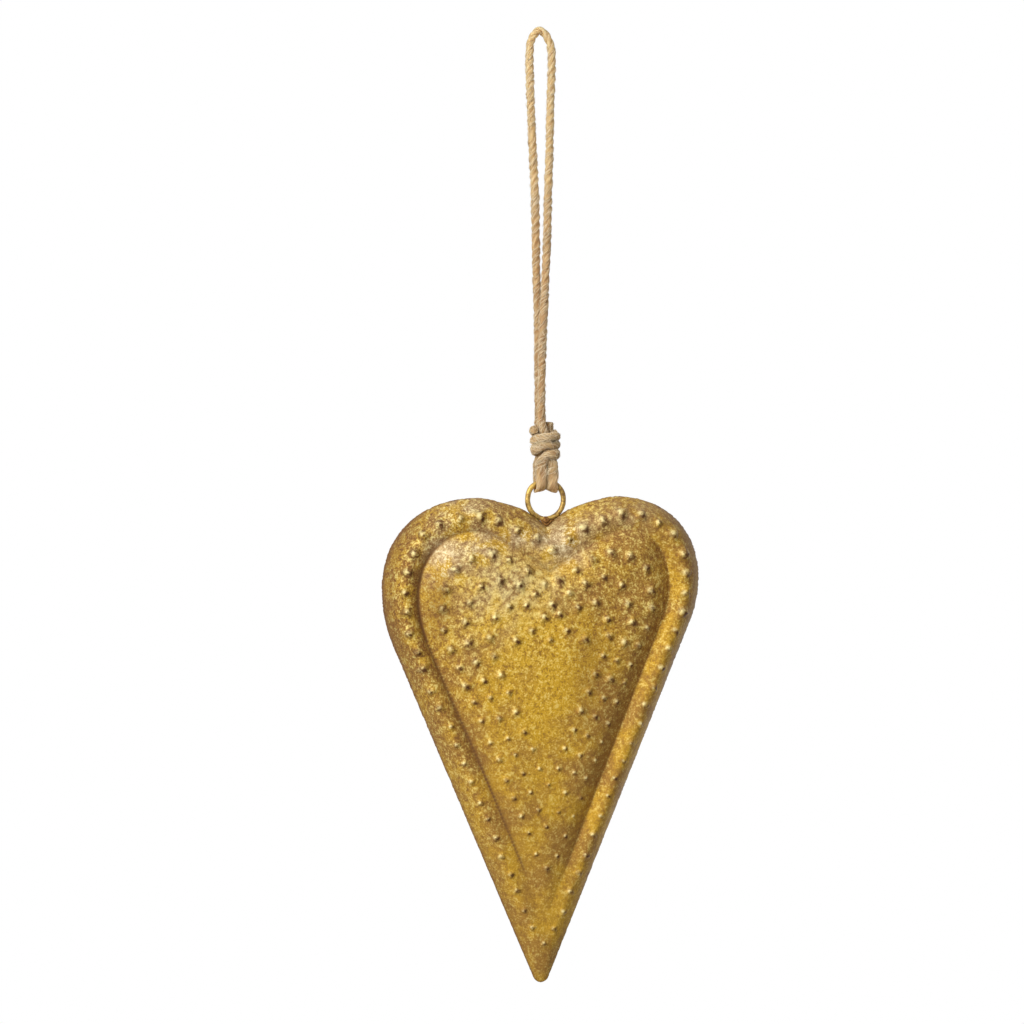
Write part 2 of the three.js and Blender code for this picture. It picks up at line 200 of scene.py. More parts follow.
def mesh_object(name, points, faces, marks=None):
    """An object from points in millimetres, with marks as named values on its points"""
    mesh = bpy.data.meshes.new(name)
    mesh.from_pydata((np.reshape(points, (-1, 3)) / METRE).tolist(), [], faces)
    mesh.polygons.foreach_set("use_smooth", [True] * len(mesh.polygons))
    for mark, values in (marks or {}).items():
        values = np.asarray(values, dtype=np.float32)
        kind = "FLOAT_VECTOR" if values.ndim == 2 else "FLOAT"
        layer = mesh.attributes.new(mark, kind, "POINT")
        layer.data.foreach_set("vector" if values.ndim == 2 else "value", values.ravel())
    mesh.update()
    return linked(name, mesh)


def quads_between(first, second):
    """Faces between two closed rows of point numbers"""
    count = len(first)
    return [(first[i], first[(i + 1) % count], second[(i + 1) % count], second[i]) for i in range(count)]


def row_faces(rows):
    """Faces between each closed row of point numbers and the next"""
    return [face for first, second in zip(rows, rows[1:]) for face in quads_between(first, second)]


def closed_faces(rings, sides, first=0):
    """Faces of a tube of rings with both ends closed"""
    grid = (first + np.arange(rings * sides)).reshape(rings, sides).tolist()
    return row_faces(grid) + [tuple(grid[0][::-1]), tuple(grid[-1])]


def smooth_route(points, step):
    """Points at an even step on a smooth curve through the given ones, and how far along it they lie"""
    spots = np.array(points, dtype=float)
    spots = np.vstack([2 * spots[0] - spots[1], spots, 2 * spots[-1] - spots[-2]])
    share = np.linspace(0, 1, ROUTE_SAMPLES, endpoint=False)[:, None]
    s2, s3 = share ** 2, share ** 3
    fine = []
    for a, b, c, d in zip(spots, spots[1:], spots[2:], spots[3:]):
        before, here, after = (np.linalg.norm(span) for span in (b - a, c - b, d - c))
        start = (c - a) * here / (before + here)
        end = (d - b) * here / (here + after)
        fine.append((2 * s3 - 3 * s2 + 1) * b + (s3 - 2 * s2 + share) * start
                    + (3 * s2 - 2 * s3) * c + (s3 - s2) * end)
    fine = np.vstack(fine + [spots[-2:-1]])
    walked = walk_along(fine)
    even = np.linspace(0, walked[-1], int(walked[-1] / step) + 1)
    return np.column_stack([np.interp(even, walked, fine[:, axis]) for axis in range(3)]), even


def carried_frames(route):
    """Two directions square to a route at each of its points, carried along without a twist"""
    ahead = unit(np.gradient(route, axis=0))
    first = np.zeros_like(route)
    side = np.cross(ahead[0], (0.0, 0.0, 1.0) if abs(ahead[0][2]) < NEARLY_UPRIGHT else (1.0, 0.0, 0.0))
    for i, direction in enumerate(ahead):
        side = side - direction * side.dot(direction)
        side /= np.linalg.norm(side)
        first[i] = side
    return first, np.cross(ahead, first)


def tube_shape(route, radius, sides):
    """Rings of points round a route; radius is one value or one for each ring"""
    first, second = carried_frames(route)
    around = turned(sides)
    offset = np.cos(around)[None, :, None] * first[:, None, :]
    offset = offset + np.sin(around)[None, :, None] * second[:, None, :]
    return route[:, None, :] + np.reshape(radius, (-1, 1, 1)) * offset


# Camera

def place_camera():
    data = bpy.data.cameras.new("camera")
    camera = linked("camera", data)
    data.sensor_width = CAMERA_SENSOR
    data.lens = CAMERA_SENSOR * CAMERA_DISTANCE / (PHOTO_PIXELS * PHOTO_SCALE)
    look = Vector((math.sin(CAMERA_YAW), math.cos(CAMERA_YAW), 0.0))
    camera.location = (Vector(CAMERA_TARGET) - CAMERA_DISTANCE * look) / METRE
    camera.rotation_euler = look.to_track_quat("-Z", "Y").to_euler()
    bpy.context.scene.camera = camera


place_camera()


# Cord: one length, from the left tail through the wraps, the left bight, the loop and the right bight

LOOP_ROUTE = [
    (-0.15, 1.78, -158.5), (-0.15, 1.78, -152), (-0.15, 1.78, -140), (-0.4, 1.75, -124),
    (-0.75, 1.55, -110), (-1.4, 0.85, -98), (-1.65, 0.3, -88), (-2.1, 0, -68), (-3.1, 0, -47), (-4, 0, -27),
    (-4.4, 0, -11), (-4.2, 0, -4.3), (-3.3, 0, -1.6), (-1.9, 0, 0.5), (-0.2, 0, 1.6), (1.6, 0, 0.75),
    (3.3, 0, -1.6), (4.6, 0, -4.8), (5, 0, -11), (4.45, 0, -27), (4, 0, -47), (3.35, 0, -68),
    (2.85, -0.3, -88), (2.15, -0.85, -98), (1.5, -1.5, -110), (0.75, -1.75, -124), (0.3, -1.78, -140),
    (0.15, -1.78, -152), (0.15, -1.78, -158.5),
]
LEFT_TAIL = [(-3.1, -1.9, -163.0), (-2.9, -0.9, -163.5)]
LEFT_FRONT = [(0.4, -4.1, -175.4), (0.05, -3.2, -178.2)]
LEFT_BACK = [(0.1, 2.6, -178), (0.5, 1.9, -173), (0.4, 1.6, -168), (-0.3, 1.7, -163)]
RIGHT_FRONT = [(0.9, -1.75, -163), (2.2, -1.6, -168), (3.3, -2.6, -173.5), (4.3, -3.1, -177.5)]
RIGHT_BACK = [(4.5, 2.5, -178), (3.7, 1.9, -173), (3.6, 1.5, -168), (3.9, 1.0, -163.5), (4.1, 0.4, -159.9)]

WRAP_STEPS = 16
WRAP_ARCH = (-0.3, 1.4, 0.3)  # rise of each wrap's front over its sides
BIGHT_STEPS = 8
CORD_STEP = 0.42


def wrap_route():
    """The turns of the knot, from the left and down"""
    count = int(KNOT_TURNS * WRAP_STEPS)
    for i in range(count + 1):
        turn = i / WRAP_STEPS
        angle = math.pi * (1 - 2 * turn)
        arch = WRAP_ARCH[int(turn)] * max(0.0, -math.sin(angle)) ** 2
        level = -KNOT_DROP - CORD_RADIUS - turn * KNOT_PITCH + arch
        yield (KNOT_OFFSET + WRAP_RADIUS * math.cos(angle), WRAP_RADIUS * math.sin(angle), level)


def wire_drop(reach):
    """How far the ring's wire lies below its top, at a reach from the ring's middle"""
    return RING_RADIUS - np.sqrt(RING_RADIUS ** 2 - np.minimum(np.abs(reach), RING_RADIUS) ** 2)


def bight_route(way):
    """One bight under the ring's wire, from front to back"""
    x = RING_OFFSET + way * BIGHT_SPREAD
    level = RING_LEVEL + RING_RADIUS - wire_drop(BIGHT_SPREAD)
    for i in range(BIGHT_STEPS + 1):
        angle = math.pi * i / BIGHT_STEPS
        yield (x, -BIGHT_TURN * math.cos(angle), level - BIGHT_TURN * math.sin(angle))


wraps = list(wrap_route())
cord_route, cord_walk = smooth_route(
    LEFT_TAIL + wraps + LEFT_FRONT + list(bight_route(-1)) + LEFT_BACK
    + LOOP_ROUTE + RIGHT_FRONT + list(bight_route(1)) + RIGHT_BACK, CORD_STEP)
wrap_start, wrap_end = (cord_walk[np.argmin(lengths(cord_route - np.array(spot)))]
                        for spot in (wraps[0], wraps[-1]))

# Levels of the cord are depths below the hook's seat
CORD_SIDES = 30
CORD_SEED = 11
STRANDS = 3
STRAND_RADIUS = 1.0
CORD_FULL = 1.12  # loose fibres make the skin fuller
CORD_UNEVEN = 0.04
GIRTH_CHANGES = 160
LAY_UNEVEN = 0.35
LAY_CHANGES = 90
FIBRE_TURN = 0.45  # share of the lay that the fibres follow
LOWER_DOWN_LEVELS = (30.0, 115.0)  # darker and browner lower down
PAIR_LEVELS = (98.0, 130.0)  # where the doubled cord is pulled smooth
PAIR_SOFT = 0.3
HITCH_LEVELS = (157.0, 165.0)
HITCH_SOFT = 0.4
HITCH_LAY = 19.0
SOFT_GIRTH = 0.97  # radius of a wholly smooth cord, as a share of the cord's
WRAP_PRESS = (0.05, 0.05, 0.32)  # how much the wraps swell along each axis
WRAP_EASE = 2.0
WRAP_LEAVE = 4.0
BIGHT_PRESS = (0.5, -0.24, -0.24)  # the bights are wide and thin
BIGHT_LEVELS = (172.0, 178.0)
DRAPE_LEVELS = (181.0, 186.0)  # where the bights follow the ring's wire


def strand_reach(angle):
    """Distance of the rope's skin from its middle, for an angle from the first strand"""
    offset = CORD_RADIUS - STRAND_RADIUS
    third = TURN / STRANDS
    apart = np.abs((angle + third / 2) % third - third / 2)
    return offset * np.cos(apart) + np.sqrt(STRAND_RADIUS ** 2 - (offset * np.sin(apart)) ** 2)


def uneven(rng, count, amount):
    """Slow chance changes along the cord, about 0"""
    return np.interp(cord_walk, np.linspace(0, cord_walk[-1], count), rng.normal(0, amount, count))


def pressed_skin(offset, depth):
    """Offsets of the skin from the cord's middle, changed where it is wrapped and where it passes the ring"""
    wrapped = shaped(wrap_start - WRAP_EASE, wrap_start + WRAP_EASE, cord_walk)
    wrapped = wrapped * shaped(wrap_end + WRAP_EASE, wrap_end - WRAP_LEAVE, cord_walk)
    in_bight = shaped(*BIGHT_LEVELS, depth) * (1 - wrapped)
    offset = offset * (1 + wrapped[:, None, None] * WRAP_PRESS)
    return offset * (1 + in_bight[:, None, None] * BIGHT_PRESS)


def cord_shape():
    """Points of the rope's skin as rings along it, and the marks of its lay"""
    first, second = carried_frames(cord_route)
    rng = default_rng(CORD_SEED)
    depth = -cord_route[:, 2]
    in_hitch = shaped(*HITCH_LEVELS, depth)
    around = turned(CORD_SIDES)
    rate = TURN * ((1 - in_hitch) / LAY_LENGTH + in_hitch / HITCH_LAY)
    lay = (np.cumsum(rate * np.gradient(cord_walk)) + uneven(rng, LAY_CHANGES, LAY_UNEVEN))[:, None]
    strands = strand_reach(around)
    crest = (strands - strands.min()) / (strands.max() - strands.min())
    soft = np.maximum(PAIR_SOFT * shaped(*PAIR_LEVELS, depth), HITCH_SOFT * in_hitch)[:, None]
    reach = strands + soft * (CORD_RADIUS * SOFT_GIRTH - strands)
    reach = CORD_FULL * reach * (1 + uneven(rng, GIRTH_CHANGES, CORD_UNEVEN))[:, None]
    angle = around + lay
    offset = (reach * np.cos(angle))[:, :, None] * first[:, None, :]
    offset = offset + (reach * np.sin(angle))[:, :, None] * second[:, None, :]
    points = cord_route[:, None, :] + pressed_skin(offset, depth)
    sag = wire_drop(points[:, :, 0] - RING_OFFSET) - wire_drop(BIGHT_SPREAD)
    points[:, :, 2] -= shaped(*DRAPE_LEVELS, depth)[:, None] * sag
    fibre = angle - FIBRE_TURN * lay
    along = np.repeat(cord_walk, CORD_SIDES)
    marks = {
        "lay": np.column_stack([np.cos(fibre).ravel(), np.sin(fibre).ravel(), along]),
        "crest": np.tile(crest, len(depth)),
        "soft": np.repeat(soft.ravel(), CORD_SIDES),
        "hitch": np.repeat(in_hitch, CORD_SIDES),
        "lower_down": np.repeat(shaped(*LOWER_DOWN_LEVELS, depth), CORD_SIDES),
    }
    return points, marks


cord_skin, cord_marks = cord_shape()


def make_cord():
    return mesh_object("cord", cord_skin, closed_faces(len(cord_skin), CORD_SIDES), cord_marks)


FIBRE_RADIUS = 0.17
FIBRE_TAPER = 0.7
FIBRE_STEPS = 9
FIBRE_SIDES = 3
FIBRE_LENGTH = (2.0, 6.0)
FIBRE_LIFT = (0.08, 0.45)  # of a hair's root, and the most that its end rises above that
FIBRE_CURL = 3


def skin_spots(rings, sides):
    """Points on the rope's skin at fractions of its rings and sides, and the ways out of it there"""
    low = np.clip(np.floor(rings).astype(int), 0, len(cord_skin) - 2)
    left = np.floor(sides).astype(int)
    up, over = (rings - low)[:, None], (sides - left)[:, None]
    left, right = left % CORD_SIDES, (left + 1) % CORD_SIDES
    near = graded((cord_skin[low, left], cord_skin[low, right]), over)
    far = graded((cord_skin[low + 1, left], cord_skin[low + 1, right]), over)
    spots = graded((near, far), up)
    out = spots - graded((cord_route[low], cord_route[low + 1]), up)
    return spots, unit(out)


def make_fibres(name, count, low, high, across, seed):
    """Loose hairs on the cord's skin between two levels; across is their part of a turn round the cord"""
    rng = default_rng(seed)
    chosen = np.flatnonzero((-cord_route[:, 2] > low) & (-cord_route[:, 2] < high))
    share = np.linspace(0, 1, FIBRE_STEPS)
    radius = FIBRE_RADIUS * (1 - FIBRE_TAPER * np.arange(FIBRE_STEPS) / FIBRE_STEPS)
    points, faces = [], []
    for number in range(count):
        length = rng.uniform(*FIBRE_LENGTH) / CORD_STEP
        ring = rng.choice(chosen) + length * (share - 0.5)
        side = rng.uniform(0, CORD_SIDES) + CORD_SIDES * rng.normal(0, across) * share
        lift = FIBRE_LIFT[0] + rng.uniform(0, FIBRE_LIFT[1]) * share ** FIBRE_CURL
        spots, out = skin_spots(np.clip(ring, 0, len(cord_skin) - 1), side)
        points.append(tube_shape(spots + out * lift[:, None], radius, FIBRE_SIDES))
        faces += closed_faces(FIBRE_STEPS, FIBRE_SIDES, number * FIBRE_STEPS * FIBRE_SIDES)
    return mesh_object(name, points, faces)


cord = make_cord()
loop_fibres = make_fibres("loop_fibres", 300, 4.0, 106.0, 0.14, 21)
pair_fibres = make_fibres("pair_fibres", 300, 106.0, 160.0, 0.2, 23)
hitch_fibres = make_fibres("hitch_fibres", 800, 160.5, 182.0, 0.22, 22)
for piece in (cord, pair_fibres):
    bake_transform(piece)
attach(loop_fibres, "hanging_loop")
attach(hitch_fibres, "hitch")
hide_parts("cord_loop", "cord_knot", "cord_bight_left", "cord_bight_right")


# Heart: its outline, its relief and the fine pressed shells

SIDE_CURVES = 6
ALL_CURVES = 2 * SIDE_CURVES


def bezier(points, share):
    a, b, c, d = (np.array(point) for point in points)
    s = share[:, None]
    return (1 - s) ** 3 * a + 3 * (1 - s) ** 2 * s * b + 3 * (1 - s) * s * s * c + s ** 3 * d


def round_part(centre, radius, start, end, share):
    angle = start + (end - start) * share
    return np.column_stack([centre[0] + radius * np.cos(angle), centre[1] + radius * np.sin(angle)])


def straight(start, end, share):
    return np.array(start) + share[:, None] * (np.array(end) - np.array(start))


def side_curves(cleft, tip, side, way):
    """One side of a heart from the cleft to the tip, as functions of a share from 0 to 1"""
    slope = math.tan(NOTCH_SLOPE)
    notch_end = (cleft[0] + way * NOTCH_RUN, cleft[1] + NOTCH_RUN * slope)
    top = (way * side["top"], -side["top_drop"])
    widest = (way * side["reach"], -side["widest"])
    run = abs(top[0] - notch_end[0])
    leaving = NOTCH_HANDLE * run
    shoulder = (notch_end, (notch_end[0] + way * leaving, notch_end[1] + leaving * slope),
                (top[0] - way * TOP_HANDLE * run, top[1]), top)
    lobe = (top, (top[0] + LOBE_FULLNESS * (widest[0] - top[0]), top[1]),
            (widest[0], widest[1] + LOBE_FULLNESS * (top[1] - widest[1])), widest)
    turn_centre = (widest[0] - way * side["turn"], widest[1])
    tip_centre = (tip[0], tip[1] + TIP_RADIUS)
    across, up = turn_centre[0] - tip_centre[0], turn_centre[1] - tip_centre[1]
    lean = math.acos((TIP_RADIUS - side["turn"]) / math.hypot(across, up))
    normal = math.atan2(up, across) - way * lean
    start = math.pi if way < 0 else 0.0
    normal = start - way * ((way * (start - normal)) % TURN)
    end = start - way * math.pi / 2
    touch = [(centre[0] + radius * math.cos(normal), centre[1] + radius * math.sin(normal))
             for centre, radius in ((turn_centre, side["turn"]), (tip_centre, TIP_RADIUS))]
    return [
        lambda share: straight(cleft, notch_end, share),
        lambda share: bezier(shoulder, share),
        lambda share: bezier(lobe, share),
        lambda share: round_part(turn_centre, side["turn"], start, normal, share),
        lambda share: straight(touch[0], touch[1], share),
        lambda share: round_part(tip_centre, TIP_RADIUS, normal, end, share),
    ]


def outline_of(cleft, tip, left, right):
    """An outline as a function of places from 0 to ALL_CURVES: down the left side and up the right"""
    down = side_curves(cleft, tip, left, -1)
    up = side_curves(cleft, tip, right, 1)

    def at(places):
        places = np.mod(places, ALL_CURVES)
        spots = np.zeros((len(places), 2))
        for curve in range(ALL_CURVES):
            here = np.floor(places) == curve
            share = places[here] - curve
            if curve < SIDE_CURVES:
                spots[here] = down[curve](share)
            else:
                spots[here] = up[ALL_CURVES - 1 - curve](1 - share)
        return spots

    return at


def inner_side(side, border):
    """A side of the inner heart, inside its border"""
    return {"reach": side["reach"] - border, "widest": side["widest"] + INNER_WIDEST_DROP,
            "top": side["top"] + INNER_TOP_SHIFT, "top_drop": side["top_drop"] + BORDER_TOP,
            "turn": side["turn"] - INNER_FLANK_SLACK}


notch_drop = RING_DROP + (RING_DIAMETER / 2 + PIECE_GAP) / math.cos(NOTCH_SLOPE)
closed_drop = RING_DROP + (RING_DIAMETER / 2 - RING_SINK) / math.cos(NOTCH_SLOPE)
rim_at = outline_of((RING_OFFSET, -closed_drop), (TIP_OFFSET, -HEART_HEIGHT), LEFT_SIDE, RIGHT_SIDE)
inner_tip = (TIP_OFFSET, BORDER_TIP - HEART_HEIGHT)
crease_at = outline_of((RING_OFFSET, -notch_drop - BORDER_CLEFT), inner_tip,
                       inner_side(LEFT_SIDE, LEFT_BORDER), inner_side(RIGHT_SIDE, RIGHT_BORDER))
dome_centre = np.array([RING_OFFSET / 2, -DOME_DROP])

# A row is 0 on the rim, 1 on the crease and 2 at the dome's centre
GIRTH_SAMPLES = 4000
LEAST_PLACES = 3
NUDGE = 0.004


def inward_at(places):
    """The way from the rim to the crease"""
    return unit(crease_at(places) - rim_at(places))


def flat_spot(places, rows):
    """Where a row crosses a place, seen from the front"""
    rows = np.broadcast_to(rows, places.shape)[:, None]
    rim, crease = rim_at(places), crease_at(places)
    border = rim + (crease - rim) * rows
    inside = dome_centre + (crease - dome_centre) * (2 - rows)
    return np.where(rows < 1, border, inside)


def uprightness(outline, places):
    """How upright an outline runs, from 0 to 1"""
    along = outline(places + NUDGE) - outline(places - NUDGE)
    return np.abs(along[:, 1]) / lengths(along)


def above_tip(places, run=GROOVE_FADE):
    """0 at the inner tip and 1 well above it"""
    return shaped(0, run, crease_at(places)[:, 1] - inner_tip[1])


def groove_share(places):
    """Share of the groove's depth: all on the sides, less on the tops, at the cleft and towards the tip"""
    on_side = graded((GROOVE_AT_TOP, 1), shaped(*SIDE_FACING, uprightness(crease_at, places)))
    left = np.mod(places, ALL_CURVES) < SIDE_CURVES
    fade = np.where(left, above_tip(places, LEFT_GROOVE_FADE), above_tip(places))
    return on_side * graded((GROOVE_AT_TIP, 1), fade)


def relief(places, rows, inside):
    """Height of the pressing above the plane of the seam; inside is the distance from the crease"""
    groove = CREST_HEIGHT - GROOVE_DEPTH * groove_share(places)
    to_rim = np.clip(1 - rows / CREST_PLACE, 0, 1)
    outer = graded((RIM_HEIGHT, CREST_HEIGHT), 1 - to_rim ** CREST_ROUNDNESS)
    to_crease = np.clip((rows - CREST_PLACE) / (1 - CREST_PLACE), 0, 1)
    inner = graded((CREST_HEIGHT, groove), to_crease ** 2)
    size = np.clip(2 - rows, 0, 1)
    rise = SHOULDER_RISE * graded((SHOULDER_AT_TIP, 1), above_tip(places))
    shoulder = rise * (1 - (1 - np.clip(inside / SHOULDER_WIDTH, 0, 1)) ** 2)
    dome = groove + shoulder + (DOME_HEIGHT - rise - groove) * (1 - size ** 2)
    return np.where(rows < CREST_PLACE, outer, np.where(rows < 1, inner, dome))


def tapered(height, spots):
    """Heights that fall off towards the tip"""
    share = graded((TIP_TAPER, 1), shaped(0, TIP_TAPER_RUN, spots[:, 1] + HEART_HEIGHT))
    return graded((RIM_HEIGHT, height), share)


def even_places(row, step, offset=0.0):
    """Places at an even step along one row of the shell"""
    fine = np.linspace(0, ALL_CURVES, GIRTH_SAMPLES + 1)
    walked = walk_along(flat_spot(fine, row))
    count = max(int(round(walked[-1] / step)), LEAST_PLACES)
    return np.interp((np.arange(count) + offset) * walked[-1] / count, walked, fine)


def counted_places(row, count):
    """A set number of places along one row of the shell"""
    fine = even_places(row, CREASE_STEP)
    return np.interp(np.linspace(0, len(fine), count, endpoint=False),
                     np.arange(len(fine) + 1), np.append(fine, ALL_CURVES))


def row_of_each(places, rows):
    """The places of several rows in one list, and the row of each"""
    return np.concatenate(places), np.repeat(rows, [len(here) for here in places])


def bump_places():
    """Places and rows of the punched bumps"""
    rows = [CREST_PLACE] + [2 - size for size in BUMP_HEARTS]
    places = [even_places(row, BUMP_PITCH, 1 - (number % 2) / 2) for number, row in enumerate(rows)]
    top_row = 2 - BUMP_TOP_HEART
    top = even_places(top_row, BUMP_PITCH, 1.0)
    places.append(top[flat_spot(top, top_row)[:, 1] > dome_centre[1] + BUMP_TOP_SPAN * BUMP_TOP_HEART])
    return row_of_each(places, rows + [top_row])


STRIP_ROWS = (0.0, 0.008, 0.02, 0.04, 0.07, 0.1)
STRIP_COLUMNS = 800
COLUMN_ROW = 0.2 * CREST_PLACE  # the row along which the columns are even
BORDER_ROWS = 18
DOME_ROWS = 70
POINT_STEP = 0.78
CREASE_STEP = 0.6
CREASE_ROWS = (0.93, 0.97, 1.0, 1.006, 1.013, 1.022)
CREASE_SAMPLES = 900
BUMP_RINGS = ((0.28, 6), (0.6, 9), (0.95, 12), (1.32, 16), (1.7, 18), (2.1, 20))
BUMP_MARGIN = 0.3
ALMOST_CREASE = 0.999
PARTS = 20  # large sums are done in this many parts
FILL_INSIDE = 1
FILL_MERGE = 1e-7


def nearest(spots, others):
    """Distance of each spot to the nearest of the others, and the number of that one"""
    gaps, numbers = [], []
    for part in np.array_split(spots, PARTS):
        apart = lengths(part[:, None, :] - others[None, :, :])
        gaps.append(apart.min(axis=1))
        numbers.append(apart.argmin(axis=1))
    return np.concatenate(gaps), np.concatenate(numbers)


def place_and_row(spots):
    """Places and rows of flat points near the crest or on the dome"""
    fine = np.linspace(0, ALL_CURVES, GIRTH_SAMPLES, endpoint=False)
    rims, creases = rim_at(fine), crease_at(fine)
    span = creases - rims
    away = creases - dome_centre
    angles = np.arctan2(away[:, 0], -away[:, 1])
    order = np.argsort(angles)
    offset = spots - dome_centre
    bearing = np.arctan2(offset[:, 0], -offset[:, 1])
    index = np.interp(bearing, angles[order], np.arange(len(fine)))
    closest = order[np.clip(np.round(index).astype(int), 0, len(fine) - 1)]
    places = fine[closest]
    size = lengths(offset) / lengths(away[closest])
    rows = 2 - size
    for i in np.flatnonzero(size > 1):
        share = np.clip(((spots[i] - rims) * span).sum(1) / (span ** 2).sum(1), 0, 1)
        best = int(np.argmin(lengths(rims + span * share[:, None] - spots[i])))
        places[i] = fine[best]
        rows[i] = min(share[best], ALMOST_CREASE)
    return places, rows


def stray_bumps():
    """Flat spots and sizes of the bumps, a little uneven and smaller low on the heart"""
    rng = default_rng(BUMP_SEED)
    spots = flat_spot(*bump_places())
    spots = spots + rng.normal(0, BUMP_STRAY, spots.shape)
    sizes = graded((BUMP_LEAST, 1), shaped(*BUMP_GROWTH, spots[:, 1]))
    return spots, sizes * (1 + rng.normal(0, BUMP_UNEVEN, len(spots)))


bumps, bump_sizes = stray_bumps()


def shell_points():
    """Flat points of a shell inside its edge strip, with their places and rows: closer at crease and bumps"""
    beside = even_places(1.0, CREASE_STEP)
    border_rows = np.linspace(STRIP_ROWS[-1], CREASE_ROWS[0], BORDER_ROWS)[1:-1]
    dome_rows = np.linspace(CREASE_ROWS[-1], 2.0, DOME_ROWS)[1:-1]
    rows = [*border_rows, *CREASE_ROWS, *dome_rows]
    places = [beside if row in CREASE_ROWS else even_places(row, POINT_STEP, (number % 2) / 2)
              for number, row in enumerate(rows)]
    places, rows = row_of_each(places, rows)
    spots = flat_spot(places, rows)
    keep = nearest(spots, bumps)[0] > BUMP_RADIUS + BUMP_MARGIN
    rounds = [bumps]
    for radius, count in BUMP_RINGS:
        angle = turned(count)
        ring = radius * np.column_stack([np.cos(angle), np.sin(angle)])
        rounds.append((bumps[:, None, :] + ring[None, :, :]).reshape(-1, 2))
    rounds = np.vstack(rounds)
    round_places, round_rows = place_and_row(rounds)
    return (np.vstack([spots[keep], rounds]), np.concatenate([places[keep], round_places]),
            np.concatenate([rows[keep], round_rows]))


shell_spots, shell_places, shell_rows = shell_points()


def filled(boundary, inside):
    """Triangles that fill a closed boundary of flat points through the points inside it"""
    spots = [Vector(point) for point in np.vstack([boundary, inside]).tolist()]
    count = len(boundary)
    edges = [(i, (i + 1) % count) for i in range(count)]
    result = delaunay_2d_cdt(spots, edges, [], FILL_INSIDE, FILL_MERGE)
    triangles, origins = result[2], [min(ids) for ids in result[3]]
    return [tuple(origins[i] for i in face) for face in triangles]


def averaged(values, triangles, rounds, weight):
    """Values eased towards the mean of their neighbours"""
    edges = np.vstack([triangles[:, (0, 1)], triangles[:, (1, 2)], triangles[:, (2, 0)]])
    edges = np.vstack([edges, edges[:, ::-1]])
    degree = np.bincount(edges[:, 0], minlength=len(values))
    for _ in range(rounds):
        mean = np.bincount(edges[:, 0], values[edges[:, 1]], minlength=len(values)) / np.maximum(degree, 1)
        values = values + weight * (mean - values)
    return values


def surface_normals(points, triangles):
    """Normals of a surface given as flat places and heights"""
    a, b, c = (points[triangles[:, k]] for k in range(3))
    normal = np.cross(b - a, c - a)
    normal[normal[:, 2] < 0] *= -1
    total = np.zeros_like(points)
    for k in range(3):
        np.add.at(total, triangles[:, k], normal)
    total[lengths(total) == 0] = (0, 0, 1)
    return unit(total)


NICKS = 26
NICK_WIDTH = (1.0, 2.2)  # in columns of the strip
NICK_DEPTH = (0.1, 0.45)
NICK_FADE = 40
RIM_JAGGED = 0.16
SMOOTH_ROUNDS = 4
SMOOTH_WEIGHT = 0.5
SMOOTH_FROM = 0.3
DENTS = 70
DENT_FIELD = ((-64, -190), (66, -4))
DENT_REACH = (4, 14)
DENT_DEPTH = 0.13
DENT_ROWS = (0.0, 0.4)


def edge_strip(columns, rng):
    """Flat points of the strip along the rim, with nicks and a jagged edge, and their places and rows"""
    nick = np.zeros(STRIP_COLUMNS)
    half = STRIP_COLUMNS / 2
    for _ in range(NICKS):
        middle = rng.integers(STRIP_COLUMNS)
        width = rng.uniform(*NICK_WIDTH)
        apart = (np.arange(STRIP_COLUMNS) - middle + half) % STRIP_COLUMNS - half
        nick += rng.uniform(*NICK_DEPTH) * falloff(apart, width)
    nick += np.abs(rng.normal(0, RIM_JAGGED, STRIP_COLUMNS))
    rows = np.repeat(STRIP_ROWS, STRIP_COLUMNS)
    places = np.tile(columns, len(STRIP_ROWS))
    depth = np.tile(nick, len(STRIP_ROWS)) * np.exp(-rows * NICK_FADE)
    return flat_spot(places, rows) + inward_at(places) * depth[:, None], places, rows


def dented(spots, seed):
    """Slight unevenness of hand-beaten sheet"""
    rng = default_rng(seed)
    depth = np.zeros(len(spots))
    for _ in range(DENTS):
        middle = rng.uniform(*DENT_FIELD)
        reach = rng.uniform(*DENT_REACH)
        depth += rng.normal(0, DENT_DEPTH) * falloff(lengths(spots - middle), reach)
    return depth


def pressed_height(spots, places, rows, crease_gap, triangles, seed):
    """Height of the pressing with its creases eased and its dents, before the bumps"""
    height = tapered(relief(places, rows, crease_gap), spots)
    eased = averaged(height, triangles, SMOOTH_ROUNDS, SMOOTH_WEIGHT)
    eased = np.where(rows <= SMOOTH_FROM, height, eased)
    return eased + dented(spots, seed) * shaped(*DENT_ROWS, rows)


def bump_lift(offset, number):
    """How far the bumps raise a surface, for the offset from the nearest bump and its number"""
    size = bump_sizes[number]
    bearing = np.arctan2(offset[:, 1], offset[:, 0])
    apart = lengths(offset) / size
    apart = apart * (1 + BUMP_RAGGED * np.cos(BUMP_CORNERS * bearing + BUMP_TURN * number))
    lift = np.clip(1 + BUMP_TIP / 2 - np.hypot(apart / BUMP_RADIUS, BUMP_TIP), 0, 1) ** BUMP_FLANK
    return size * (BUMP_HEIGHT * lift + BUMP_SKIRT * falloff(apart, BUMP_SKIRT_REACH))
